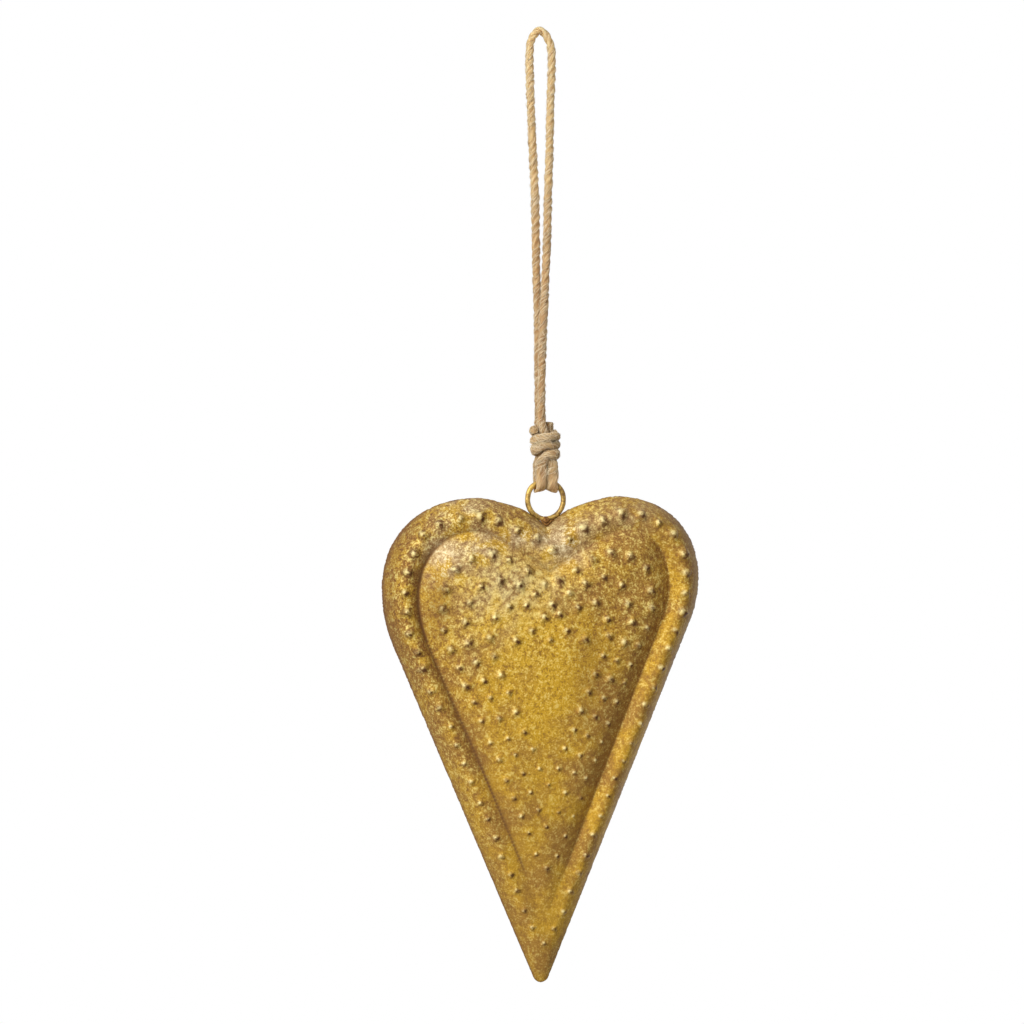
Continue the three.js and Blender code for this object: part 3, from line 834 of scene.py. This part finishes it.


# Wear of the paint, with painted shade and painted highlights. Levels are heights from the tops of the lobes,
# sides are distances from the plumb line.
GROOVE_SIDES = (-10.0, 30.0)  # from the left groove to the right one
GROOVE_SHADE = (0.55, 0.1)  # of the left groove and of the right one
BORDER_SHADE_REACH = (3.0, 0.9)
DOME_SHADE_REACH = (0.5, 4.5)
LINE_WIDTH = 1.0  # a fine line of painted shade lies in the crease
LINE_RIGHT = 0.1
LINE_LEFT = (0.55, 0.35)  # low and high on the left
LINE_LEVELS = (-100.0, -60.0)
LINE_END = (-162.0, -148.0)
RIGHT_EDGE_SHADE = 0.3  # painted shade on the dome's right edge, which faces away from the lamp
RIGHT_EDGE_REACH = 9.5
LEFT_EDGE_SHADE = 0.38  # and painted shade low on its left edge
LEFT_EDGE_REACH = 4.5
SLOPE_UPRIGHT = (0.2, 0.8)
SLOPE_LEVELS = (-100.0, -45.0)
SLOPE_ROWS = (0.12, 0.55)
LEFT_SLOPE_BROWN = (0.55, 0.85)  # low and high
RIGHT_SLOPE_BROWN = (0.35, 1.0)
RIM_ROWS = (0.0, 0.09)
ROUGH_LEVELS = (-150.0, -20.0)
BUMP_SHADE = (0.65, -0.5)  # painted shade below each bump, on its right, away from the lamp
BUMP_SHADE_REACH = 1.3
BUMP_RING = 1.5  # brown round the bumps of the left lobe
BUMP_RING_WIDTH = 0.9
BUMP_RING_SHADE = 0.5
RUBBED_LEVELS = (-85.0, -55.0)
RUBBED_SIDES = (-20.0, 25.0)
BUMP_GLEAM = (-0.5, 0.4)  # and a painted highlight on its other side
BUMP_GLEAM_REACH = 0.85
SHADE_AND_DULL = 0.5  # less yellow: painted shade on the dome's right side, away from the lamp, and duller paint on the border high on the left
RIGHT_DOME_SIDES = (8.0, 45.0)
DULL_LEVELS = (-110.0, -50.0)
LEFT_BORDER_SIDES = (5.0, 30.0)
LEFT_BORDER_BROWN = 0.2
LEFT_BORDER_ROUGH = 0.4
RIGHT_BORDER_SIDES = (25.0, 45.0)
RIGHT_BORDER_BROWN = 0.08
RIGHT_BORDER_SMOOTH = 0.45
# Painted sheen, pale where the lamp's highlight falls: how much, the middle and the reach
PAINTED_SHEENS = (
    (0.68, (-43.0, -25.0), (8.0, 10.0)), (0.4, (-34.0, -5.0), (13.0, 6.0)), (0.5, (-26.0, -20.0), (9.0, 7.0)),
    (0.6, (-8.0, -17.0), (12.0, 5.0)), (0.6, (8.0, -23.0), (9.0, 9.0)), (0.3, (14.0, -12.0), (12.0, 7.0)),
    (0.25, (-24.0, -42.0), (14.0, 18.0)), (0.3, (36.0, -8.0), (10.0, 6.0)),
)
# Yellow places, darker patches and painted highlights, told in the same way
WARMS = ((1.0, (1.0, -72.0), (25.0, 25.0)), (0.45, (-7.0, -113.0), (11.0, 20.0)))
# Painted shade on the dome's left edge and right middle, and a darker patch low on its left
DARKER_PATCHES = ((0.75, (-45.5, -43.0), (7.0, 20.0)), (0.55, (18.0, -72.0), (11.0, 30.0)),
          (0.2, (-22.0, -105.0), (12.0, 28.0)))
# A painted highlight high on the dome
PAINTED_HIGHLIGHTS = ((0.38, (-11.0, -37.0), (17.0, 10.0)),)


def groove_shade(x, y, dome, deep, crease_gap):
    """Painted shade along the groove, in its fine line and on the dome's edges, for the distance from the
    crease
    """
    to_right = shaped(*GROOVE_SIDES, x)
    to_top = shaped(*LINE_LEVELS, y)
    above_end = shaped(*LINE_END, y)
    reach = np.where(dome, graded(DOME_SHADE_REACH, to_right), graded(BORDER_SHADE_REACH, to_right))
    band = graded(GROOVE_SHADE, to_right) * deep * falloff(crease_gap, reach)
    line = LINE_RIGHT + graded(LINE_LEFT, to_top) * (1 - to_right)
    line = line * above_end * falloff(crease_gap, LINE_WIDTH)
    right_edge = RIGHT_EDGE_SHADE * deep * falloff(crease_gap, RIGHT_EDGE_REACH)
    left_edge = LEFT_EDGE_SHADE * (1 - to_top) * above_end * falloff(crease_gap, LEFT_EDGE_REACH)
    return band + line + (dome & (x > 0)) * right_edge + (dome & (x < 0)) * left_edge


def bump_marks(beside, rubbed):
    """Painted shade, with brown rings on the left lobe, and painted highlights at the bumps; beside is the
    offset from the nearest one for a bump of full size
    """
    shade = falloff(lengths(beside - BUMP_SHADE), BUMP_SHADE_REACH)
    ring = falloff(lengths(beside) - BUMP_RING, BUMP_RING_WIDTH)
    gleam = falloff(lengths(beside - BUMP_GLEAM), BUMP_GLEAM_REACH)
    return np.maximum(shade, BUMP_RING_SHADE * ring * rubbed), gleam


def slope_brown(x, y, places, rows):
    """Brown on the border's outer slopes: most high on the sides, none along the tops and at the tip"""
    upright = shaped(*SLOPE_UPRIGHT, uprightness(rim_at, places))
    high = shaped(*SLOPE_LEVELS, y)
    most = np.where(x < 0, graded(LEFT_SLOPE_BROWN, high), graded(RIGHT_SLOPE_BROWN, high))
    return (1 - shaped(*SLOPE_ROWS, rows)) * upright * most


def shell_marks(spots, places, rows, crease_gap, beside):
    """The wear of a shell's paint, with painted shade and painted highlights, as named values on its points
    """
    x, y = spots.T
    dome = rows >= 1
    left_border = ~dome * shaped(*LEFT_BORDER_SIDES, -x)
    right_border = ~dome * shaped(*RIGHT_BORDER_SIDES, x)
    high_left = left_border * shaped(*DULL_LEVELS, y)
    rubbed = shaped(*RUBBED_LEVELS, y) * (1 - shaped(*RUBBED_SIDES, x))
    shade, gleam = bump_marks(beside, rubbed)
    # Painted shade along the groove and on patches of the dome
    darkened = groove_shade(x, y, dome, groove_share(places), crease_gap) + dome * spread(DARKER_PATCHES, spots)
    right_dome = dome * shaped(*RIGHT_DOME_SIDES, x)
    rough = shaped(*ROUGH_LEVELS, y)
    return {
        # Painted shade, with browner paint on the borders
        "shade_and_brown": darkened + LEFT_BORDER_BROWN * high_left + RIGHT_BORDER_BROWN * right_border,
        "edge": 1 - shaped(*RIM_ROWS, rows),
        "side": slope_brown(x, y, places, rows),
        "shade": shade,
        "gleam": gleam + spread(PAINTED_HIGHLIGHTS, spots),
        # Less yellow on the dome's right side, as painted shade, and on the border high on the left
        "warm": spread(WARMS, spots) - SHADE_AND_DULL * (right_dome + high_left),
        "sheen": spread(PAINTED_SHEENS, spots),
        "rough": rough + LEFT_BORDER_ROUGH * left_border - RIGHT_BORDER_SMOOTH * right_border,
        "rubbed": rubbed,
    }


INSIDE_ROWS = (0.22, 0.5, 1.0, 1.3, 1.7)
INSIDE_STEP = 6.0
INSIDE_DEPTH = 2 * SHEET
INSIDE_SAMPLES = 400


def crease_samples(count):
    return crease_at(np.linspace(0, ALL_CURVES, count, endpoint=False))


def standing(spots, height, facing):
    """Points of a shell from its flat spots and heights, to the front or to the back"""
    return np.column_stack([spots[:, 0], facing * height, spots[:, 1] - HANG_DROP])


def shell_inside(columns, first, rim_numbers, facing):
    """The plain inside of a shell, with its points numbered from first"""
    edge = rim_at(columns) + inward_at(columns) * SHEET
    places, rows = row_of_each([even_places(row, INSIDE_STEP) for row in INSIDE_ROWS], INSIDE_ROWS)
    spots = np.vstack([flat_spot(places, rows), dome_centre[None, :]])
    crease_gap = nearest(spots[:-1], crease_samples(INSIDE_SAMPLES))[0]
    height = np.append(relief(places, rows, crease_gap), DOME_HEIGHT)
    height = tapered(height, spots) - INSIDE_DEPTH
    height = np.concatenate([np.full(len(edge), RIM_HEIGHT), height])
    triangles = [tuple(first + i for i in face[::-1]) for face in filled(edge, spots)]
    numbers = list(range(first, first + len(edge)))
    return standing(np.vstack([edge, spots]), height, facing), triangles + quads_between(numbers, rim_numbers)


def make_shell(name, facing, seed):
    """A pressed shell: fine outside, plain inside, closed at the rim. facing is -1 for the front"""
    columns = counted_places(COLUMN_ROW, STRIP_COLUMNS)
    strip, strip_places, strip_rows = edge_strip(columns, default_rng(seed))
    last = len(strip) - STRIP_COLUMNS
    triangles = np.array(filled(strip[last:], shell_spots)) + last
    spots = np.vstack([strip, shell_spots])
    places = np.concatenate([strip_places, shell_places])
    rows = np.concatenate([strip_rows, shell_rows])
    crease_gap = nearest(spots, crease_samples(CREASE_SAMPLES))[0]
    height = pressed_height(spots, places, rows, crease_gap, triangles, seed + 1)
    plain = np.column_stack([spots, height])
    number = nearest(spots, bumps)[1]
    offset = spots - bumps[number]
    raised = plain + surface_normals(plain, triangles) * bump_lift(offset, number)[:, None]
    outside = standing(raised, raised[:, 2], facing)
    grid = np.arange(len(strip)).reshape(-1, STRIP_COLUMNS).tolist()
    faces = row_faces(grid) + [tuple(face) for face in triangles.tolist()]
    inside, inside_faces = shell_inside(columns, len(outside), grid[0], facing)
    faces += inside_faces
    if facing > 0:
        faces = [face[::-1] for face in faces]
    marks = shell_marks(spots, places, rows, crease_gap, offset / bump_sizes[number][:, None])
    marks = {mark: np.append(values, np.zeros(len(inside))) for mark, values in marks.items()}
    return mesh_object(name, np.vstack([outside, inside]), faces, marks)


front = make_shell("front_shell_pressed", -1, 31)
back = make_shell("back_shell_pressed", 1, 41)
for shell, node in ((front, "front_shell"), (back, "back_shell")):
    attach(shell, "heart")
    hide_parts(node)


# Seam, ring and solder

SEAM_COLUMNS = 900
SEAM_SEED = 51
SEAM_HALF = 0.6
SEAM_SINK = 0.1
SEAM_WAVE = 3  # columns from one chance change to the next
SEAM_UNEVEN = 0.09
# Half of the section from its outer edge: the depth behind the rim and the share of the half width
SEAM_SECTION = [(0.0, 0.0), (0.06, 0.62), (0.3, 1.0), (SEAM_WIDTH, 1.0)]


def make_seam():
    """The soldered line between the shells, a little uneven"""
    places = counted_places(0.0, SEAM_COLUMNS)
    rng = default_rng(SEAM_SEED)
    changes = rng.normal(0, SEAM_UNEVEN, SEAM_COLUMNS // SEAM_WAVE + 1)
    wave = np.interp(np.arange(SEAM_COLUMNS), np.arange(0, SEAM_COLUMNS + 1, SEAM_WAVE), changes)
    rim, inward = rim_at(places), inward_at(places)
    section = SEAM_SECTION + [(depth, -share) for depth, share in SEAM_SECTION[:0:-1]]
    points = []
    for depth, share in section:
        sunk = SEAM_SINK + depth + wave * (depth < SEAM_WIDTH)
        points.append(standing(rim + inward * sunk[:, None], np.full(SEAM_COLUMNS, SEAM_HALF), share))
    rows = np.arange(len(section) * SEAM_COLUMNS).reshape(-1, SEAM_COLUMNS).tolist()
    return mesh_object("rim_seam_line", points, row_faces(rows + rows[:1]))


RING_STEPS = 110
RING_SIDES = 16
RING_SEED = 61
RING_GAP = 0.12
RING_ANGLES = (-2, 5)
PINCH_SHARPNESS = 16
BEND_CHANGES = 15
BEND_UNEVEN = 0.07
WIRE_CHANGES = 60
WIRE_UNEVEN = 0.025


def ring_changes(angle, rng, count, amount):
    """Chance changes round the ring, about 0"""
    return np.interp(angle, np.linspace(*RING_ANGLES, count), rng.normal(0, amount, count))


def make_ring():
    """One bent wire whose ends meet at the bottom"""
    rng = default_rng(RING_SEED)
    gap = RING_GAP / RING_RADIUS
    angle = gap - math.pi / 2 + np.linspace(0, 1, RING_STEPS) * (TURN - 2 * gap)
    pinch = RING_PINCH * np.maximum(0, np.cos(angle + math.pi / 2)) ** PINCH_SHARPNESS
    radius = RING_RADIUS + pinch + ring_changes(angle, rng, BEND_CHANGES, BEND_UNEVEN)
    x = RING_OFFSET + radius * np.cos(angle)
    z = RING_LEVEL + radius * np.sin(angle)
    thick = WIRE_DIAMETER / 2 * (1 + ring_changes(angle, rng, WIRE_CHANGES, WIRE_UNEVEN))
    points = tube_shape(np.column_stack([x, 0 * angle, z]), thick, RING_SIDES)
    return mesh_object("hanging_ring_wire", points, closed_faces(RING_STEPS, RING_SIDES))


SOLDER_STEPS = 30
SOLDER_SIDES = 20
SOLDER_SEED = 71
SOLDER_SIZE = (2.7, 1.9, 2.1)
SOLDER_DROP = 10.5
SOLDER_LUMPS = 0.012
DROP_WAIST = 0.62  # width of the drop at mid height, as a share of its full width
BEAD_RADIUS = 0.42
BEAD_SIDES = 8
BEAD_STEP = 0.3
BEAD_ENDS = (0.08, 0.92)
BEAD_ROUTE = [
    (-2.9, -1.25, -9.5), (-1.7, -1.75, -10.6), (-0.1, -2.05, -12.05), (1.5, -1.75, -10.7), (2.7, -1.25, -9.6),
]


def drop_shape():
    """The drop of solder in the foot of the notch, pointed below"""
    rng = default_rng(SOLDER_SEED)
    polar = np.linspace(0, math.pi, SOLDER_STEPS + 1)[1:-1, None]
    angle = turned(SOLDER_SIDES)
    lump = 1 + rng.normal(0, SOLDER_LUMPS, (len(polar), SOLDER_SIDES))
    up = np.cos(polar) + 0 * angle
    x = SOLDER_SIZE[0] * np.sin(polar) * np.cos(angle) * graded((DROP_WAIST, 1), up) * lump
    y = SOLDER_SIZE[1] * np.sin(polar) * np.sin(angle) * lump
    return np.stack([x, y, SOLDER_SIZE[2] * up - SOLDER_DROP], axis=2)


def make_solder():
    """Solder in the notch below the ring: a drop with a bead along its two sides"""
    drop = drop_shape()
    route = smooth_route(BEAD_ROUTE, BEAD_STEP)[0]
    swell = np.sqrt(np.sin(math.pi * np.linspace(*BEAD_ENDS, len(route))))
    bead = tube_shape(route, BEAD_RADIUS * swell, BEAD_SIDES)
    faces = [face[::-1] for face in closed_faces(len(drop), SOLDER_SIDES)]
    faces += closed_faces(len(bead), BEAD_SIDES, len(drop) * SOLDER_SIDES)
    points = np.vstack([drop.reshape(-1, 3), bead.reshape(-1, 3)])
    return mesh_object("ring_solder_drop", points + (RING_OFFSET, 0.0, -HANG_DROP), faces)


seam, ring, solder = make_seam(), make_ring(), make_solder()
metal_pieces = ((seam, "rim_seam", "seam"), (ring, "hanging_ring", "wire"), (solder, "ring_solder", "seam"))
for piece, node, slot in metal_pieces:
    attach(piece, "heart")
    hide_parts(node)


# Materials

MIX_SHARE, MIX_FIRST, MIX_SECOND, MIX_RESULT = 0, 6, 7, 2  # colour sockets of a Mix node
MARK_VECTOR, MARK_VALUE = 1, 2  # outputs of an Attribute node


class Wire:
    """A socket that takes part in sums; each sum adds a Math node to its sheet"""

    def __init__(self, sheet, socket):
        self.sheet = sheet
        self.socket = socket

    def maths(self, operation, first, second):
        return self.sheet.add("ShaderNodeMath", {"operation": operation}, {0: first, 1: second})

    def __add__(self, other):
        return self.maths("ADD", self, other)

    def __radd__(self, other):
        return self.maths("ADD", other, self)

    def __sub__(self, other):
        return self.maths("SUBTRACT", self, other)

    def __rsub__(self, other):
        return self.maths("SUBTRACT", other, self)

    def __mul__(self, other):
        return self.maths("MULTIPLY", self, other)

    def __rmul__(self, other):
        return self.maths("MULTIPLY", other, self)

    def between(self, low, high):
        """0 at low, 1 at high, with a smooth rise"""
        inputs = {"Value": self, "From Min": low, "From Max": high}
        return self.sheet.add("ShaderNodeMapRange", {"interpolation_type": "SMOOTHSTEP"}, inputs)


class Sheet:
    """The node tree of one material or of the world"""

    def __init__(self, owner):
        owner.use_nodes = True
        self.owner = owner
        self.tree = owner.node_tree
        self.tree.nodes.clear()

    def add(self, kind, settings, inputs, output=0):
        """A node with its settings and inputs; the result is the wire from one of its outputs"""
        node = self.tree.nodes.new(kind)
        for name, value in settings.items():
            setattr(node, name, value)
        for name, value in inputs.items():
            if isinstance(value, Wire):
                self.tree.links.new(value.socket, node.inputs[name])
            else:
                node.inputs[name].default_value = value
        return Wire(self, node.outputs[output]) if node.outputs else None

    def mix(self, share, first, second):
        """A colour between two, by a share"""
        inputs = {MIX_SHARE: share, MIX_FIRST: first, MIX_SECOND: second}
        return self.add("ShaderNodeMix", {"data_type": "RGBA"}, inputs, MIX_RESULT)

    def place(self):
        return self.add("ShaderNodeTexCoord", {}, {}, "Object")

    def noise(self, place, scale, detail, rough):
        inputs = {"Vector": place, "Scale": scale, "Detail": detail, "Roughness": rough}
        return self.add("ShaderNodeTexNoise", {}, inputs)

    def mark(self, name, output=MARK_VALUE):
        return self.add("ShaderNodeAttribute", {"attribute_name": name}, {}, output)

    def bump(self, height, strength, distance):
        return self.add("ShaderNodeBump", {}, {"Strength": strength, "Distance": distance, "Height": height})

    def surface(self, inputs):
        """Ends the material with a Principled shader"""
        shader = self.add("ShaderNodeBsdfPrincipled", {}, inputs)
        self.add("ShaderNodeOutputMaterial", {}, {"Surface": shader})
        return self.owner


def colour(red, green, blue):
    """A colour as it is seen on a screen, from 0 to 255, for a colour socket"""
    parts = [part / 255 for part in (red, green, blue)]
    return (*[p / 12.92 if p <= 0.04045 else ((p + 0.055) / 1.055) ** 2.4 for p in parts], 1.0)


# A grain is a noise's scale, detail and roughness. A span is where a grain or mark counts as none and as all.
FINE_GRAIN = (1350.0, 2.0, 0.6)
COARSE_GRAIN = (480.0, 3.0, 0.6)
PATCHES = (60.0, 5.0, 0.65)
BLOTS = (120.0, 4.0, 0.6)
GRAIN_STRENGTH = (0.55, 1.15)  # on smooth and on rough paint
ALL_SPAN = (0.0, 1.0)
YELLOW_SHARE = 0.65
YELLOW_SPAN = (0.36, 0.64)
BRIGHT_ROUGH = 0.15
BRIGHT_RUBBED = 0.4
BRIGHT_SPAN = (0.46, 0.6)
# Painted sheen: a pale colour standing in for the lamp's highlight on the upper left
SHEEN_SHARE = 0.8
SHEEN_SPAN = (0.62, 0.46)
PIT_SHARE = 0.65
PIT_SPAN = (0.5, 0.38)
PIT_SHEEN = 0.5  # how much less there is of the pits under the painted sheen
FLECK_SHARE = 0.7
FLECK_SPAN = (0.5, 0.64)
# Flecks grow denser and whiter under the painted sheen
FLECK_SHEEN = 0.03
FLECK_SHEEN_SPAN = (0.0, 0.8)
# Painted highlights on the lit side of each bump and on a bright place of the dome
GLEAM_SHARE = 0.9
GLEAM_LEAST = 0.15
GLEAM_SPAN = (0.36, 0.56)
# Painted shade in the grooves and darker patches, with browner borders, the dark rim and the brown outer
# slopes
SHADE_AND_WEAR_MARKS = {"shade_and_brown": 0.7, "edge": 0.3, "side": 0.45}
SHADE_AND_WEAR_GRAIN = (0.6, 1.4)
# Painted shade beside the bumps
SHADE_SHARE = 0.95
SHADE_GRAIN = (0.45, 1.2)
SHADE_SPAN = (0.6, 0.4)
GOLD_ROUGHNESS = (0.55, 0.31)


def gold_tint(sheet, fine, coarse, grain):
    """Colour of the antique gold, from its ground to the painted shade in its grooves"""
    place = sheet.place()
    blot = sheet.noise(place, *BLOTS)
    rough, sheen = sheet.mark("rough"), sheet.mark("sheen")
    strong = graded(GRAIN_STRENGTH, rough)
    yellow = YELLOW_SHARE * (sheet.noise(place, *PATCHES).between(*YELLOW_SPAN) + sheet.mark("warm"))
    tint = sheet.mix(yellow.between(*ALL_SPAN), colour(162, 121, 57), colour(202, 158, 48))
    bright = (BRIGHT_ROUGH * rough + BRIGHT_RUBBED * sheet.mark("rubbed")) * blot.between(*BRIGHT_SPAN)
    tint = sheet.mix(bright, tint, colour(214, 172, 60))
    # Painted sheen, pale where the lamp's highlight falls
    tint = sheet.mix(SHEEN_SHARE * sheen * blot.between(*SHEEN_SPAN), tint, colour(214, 193, 154))
    pits = PIT_SHARE * strong * grain.between(*PIT_SPAN) * (1.0 - PIT_SHEEN * sheen)
    tint = sheet.mix(pits, tint, colour(112, 74, 46))
    # Flecks turn whiter under the painted sheen
    fleck = sheet.mix(sheen.between(*FLECK_SHEEN_SPAN), colour(242, 220, 132), colour(250, 236, 196))
    tint = sheet.mix(FLECK_SHARE * strong * (grain + FLECK_SHEEN * sheen).between(*FLECK_SPAN), tint, fleck)
    # Painted highlight on the bumps
    gleam = GLEAM_SHARE * sheet.mark("gleam") * (GLEAM_LEAST + coarse.between(*GLEAM_SPAN))
    tint = sheet.mix(gleam, tint, colour(254, 236, 168))
    # Painted shade in the grooves, with the brown of the borders, rim and outer slopes
    shade_and_wear = sum(share * sheet.mark(name) for name, share in SHADE_AND_WEAR_MARKS.items()) * graded(SHADE_AND_WEAR_GRAIN, coarse)
    tint = sheet.mix(shade_and_wear.between(*ALL_SPAN), tint, colour(108, 75, 46))
    # Painted shade below each bump, on its right
    shade = SHADE_SHARE * sheet.mark("shade") * graded(SHADE_GRAIN, coarse.between(*SHADE_SPAN))
    return sheet.mix(shade, tint, colour(88, 58, 36))


def gold_material():
    """Antique gold paint: grainy, pale flecks on high places, brown in pits, painted sheen and highlights,
    and painted shade in the grooves and beside the bumps
    """
    sheet = Sheet(bpy.data.materials.new("antique_gold"))
    place = sheet.place()
    fine, coarse = sheet.noise(place, *FINE_GRAIN), sheet.noise(place, *COARSE_GRAIN)
    grain = (fine + coarse) * 0.5
    return sheet.surface({
        "Base Color": gold_tint(sheet, fine, coarse, grain), "Metallic": 0.06,
        "Roughness": graded(GOLD_ROUGHNESS, fine), "Normal": sheet.bump(grain, strength=0.7, distance=0.0005),
        "Specular IOR Level": 0.1, "Specular Tint": colour(226, 180, 110)})


WIRE_GRAIN = (900.0, 3.0, 0.65)
WIRE_STAIN = (260.0, 2.0, 0.6)
WIRE_SPAN = (0.36, 0.62)
WIRE_ROUGHNESS = (0.34, 0.59)


def wire_material():
    """Dull brass wire with brown tarnish"""
    sheet = Sheet(bpy.data.materials.new("aged_wire"))
    place = sheet.place()
    grain, stain = sheet.noise(place, *WIRE_GRAIN), sheet.noise(place, *WIRE_STAIN)
    bright = ((grain + stain) * 0.5).between(*WIRE_SPAN)
    return sheet.surface({
        "Base Color": sheet.mix(bright, colour(112, 80, 36), colour(198, 164, 84)),
        "Metallic": 0.55, "Roughness": graded(WIRE_ROUGHNESS, stain),
        "Normal": sheet.bump(grain, strength=0.3, distance=0.0002)})


SOLDER_GRAIN = (1100.0, 3.0, 0.65)
SOLDER_SPAN = (0.35, 0.68)


def seam_material():
    """Dull solder with gold powder on it"""
    sheet = Sheet(bpy.data.materials.new("dull_solder"))
    grain = sheet.noise(sheet.place(), *SOLDER_GRAIN)
    tint = sheet.mix(grain.between(*SOLDER_SPAN), colour(96, 62, 32), colour(156, 112, 58))
    return sheet.surface({
        "Base Color": tint, "Metallic": 0.1, "Roughness": 0.6, "Specular IOR Level": 0.1,
        "Normal": sheet.bump(grain, strength=0.5, distance=0.0004)})


FIBRE_STRETCH = (3.4, 3.4, 0.26)
FIBRE_GRAIN = (1.0, 3.0, 0.62)
FIBRE_SPAN = (0.34, 0.66)
FIBRE_SHARE = 0.62
DRIFT_GRAIN = (0.25, 2.0, 0.5)
DRIFT_SHARE = 0.4
# Painted light: the knot is made paler against the shade between its wraps
HITCH_PAINTED_LIGHT = 0.25
TONE_SPAN = (-0.1, 1.1)
CREST_SPAN = (0.0, 0.5)
BETWEEN_STRANDS = (0.45, 0.05)  # shade between loose strands and between smoothed ones
JUTE_BLEED = 0.005
HAIR_GRAIN = (120.0, 2.0, 0.5)


def cord_material():
    """Natural jute: pale fibres along the strands, darker between them"""
    sheet = Sheet(bpy.data.materials.new("natural_jute"))
    lay = sheet.mark("lay", MARK_VECTOR)
    lower_down = sheet.mark("lower_down")
    stretched = sheet.add("ShaderNodeMapping", {}, {"Vector": lay, "Scale": FIBRE_STRETCH})
    fibre = sheet.noise(stretched, *FIBRE_GRAIN)
    drift = sheet.noise(lay, *DRIFT_GRAIN) - 0.5
    # Paler in the knot: painted light against its own shade
    tone = FIBRE_SHARE * fibre.between(*FIBRE_SPAN) + DRIFT_SHARE * drift + HITCH_PAINTED_LIGHT * sheet.mark("hitch")
    # Darker and browner lower down the cord
    dark = sheet.mix(lower_down, colour(194, 160, 110), colour(166, 129, 88))
    light = sheet.mix(lower_down, colour(236, 212, 168), colour(216, 185, 140))
    tint = sheet.mix(tone.between(*TONE_SPAN), dark, light)
    shade = (1.0 - sheet.mark("crest").between(*CREST_SPAN)) * graded(BETWEEN_STRANDS, sheet.mark("soft"))
    return sheet.surface({
        "Base Color": sheet.mix(shade, tint, colour(170, 132, 88)), "Roughness": 0.9,
        "Normal": sheet.bump(fibre, strength=0.4, distance=0.0004), "Specular IOR Level": 0.1,
        "Subsurface Weight": 1.0, "Subsurface Radius": (1.0, 1.0, 1.0), "Subsurface Scale": JUTE_BLEED})


def fibre_material():
    """Single pale hairs of jute"""
    sheet = Sheet(bpy.data.materials.new("jute_hair"))
    tone = sheet.noise(sheet.place(), *HAIR_GRAIN)
    tint = sheet.mix(tone, colour(214, 188, 146), colour(242, 226, 194))
    return sheet.surface({"Base Color": tint, "Roughness": 0.8, "Specular IOR Level": 0.2})


finishes = (
    (gold_material(), (front, back)), (seam_material(), (seam, solder)), (wire_material(), (ring,)),
    (cord_material(), (cord,)), (fibre_material(), (loop_fibres, pair_fibres, hitch_fibres)),
)
for finish, pieces in finishes:
    for piece in pieces:
        piece.data.materials.append(finish)


# Floor, light and background, with lengths in metres

FLOOR_LEVEL = -0.66
FLOOR_RADIUS = 1.0
FLOOR_SIDES = 96
FLOOR_GLOW = 0.6  # share of the floor that is seen as white
FLOOR_GREY = (0.9, 0.9, 0.9, 1.0)
WHITE = (1.0, 1.0, 1.0, 1.0)
AMBIENT = 0.2
LAMP_DISTANCE = 1.0
# Name, power and size of each lamp, and the way to it from the heart
LAMPS = (("key", 9.9, 0.45, (-0.66, -0.62, 0.43)), ("overhead", 2.2, 0.8, (0.3, -0.45, 0.84)))
HEART_MIDDLE = (0.0, 0.0, -0.25)


def seen_rays(sheet):
    """1 on the rays that show the background to the camera, to metal and to glass"""
    total = sheet.add("ShaderNodeLightPath", {}, {}, "Is Camera Ray")
    node = total.socket.node
    for name in ("Is Glossy Ray", "Is Transmission Ray"):
        total = total + Wire(sheet, node.outputs[name])
    return sheet.add("ShaderNodeClamp", {}, {"Value": total})


def make_world():
    world = bpy.data.worlds.new("studio")
    bpy.context.scene.world = world
    sheet = Sheet(world)
    soft = sheet.add("ShaderNodeBackground", {}, {"Color": WHITE, "Strength": AMBIENT})
    shown = sheet.add("ShaderNodeBackground", {}, {"Color": WHITE, "Strength": 1.0})
    mixed = sheet.add("ShaderNodeMixShader", {}, {0: seen_rays(sheet), 1: soft, 2: shown})
    sheet.add("ShaderNodeOutputWorld", {}, {"Surface": mixed})


def make_floor():
    angles = turned(FLOOR_SIDES)
    x, y = FLOOR_RADIUS * np.cos(angles), FLOOR_RADIUS * np.sin(angles)
    rim = np.column_stack([x, y, np.full(FLOOR_SIDES, FLOOR_LEVEL)])
    floor = mesh_object("floor", rim * METRE, [tuple(range(FLOOR_SIDES))])
    sheet = Sheet(bpy.data.materials.new("pale_floor"))
    pale = sheet.add("ShaderNodeBsdfDiffuse", {}, {"Color": FLOOR_GREY})
    glow = sheet.add("ShaderNodeEmission", {}, {"Color": WHITE, "Strength": 1.0})
    shader = sheet.add("ShaderNodeMixShader", {}, {0: seen_rays(sheet) * FLOOR_GLOW, 1: pale, 2: glow})
    sheet.add("ShaderNodeOutputMaterial", {}, {"Surface": shader})
    floor.data.materials.append(sheet.owner)


def make_lamp(name, power, size, direction):
    """A soft square lamp that faces the heart"""
    data = bpy.data.lights.new(name, "AREA")
    data.energy = power
    data.size = size
    lamp = linked(name, data)
    way = Vector(direction).normalized()
    lamp.location = Vector(HEART_MIDDLE) + LAMP_DISTANCE * way
    lamp.rotation_euler = (-way).to_track_quat("-Z", "Y").to_euler()


make_world()
make_floor()
for lamp in LAMPS:
    make_lamp(*lamp)
bpy.context.scene.view_settings.view_transform = "Standard"
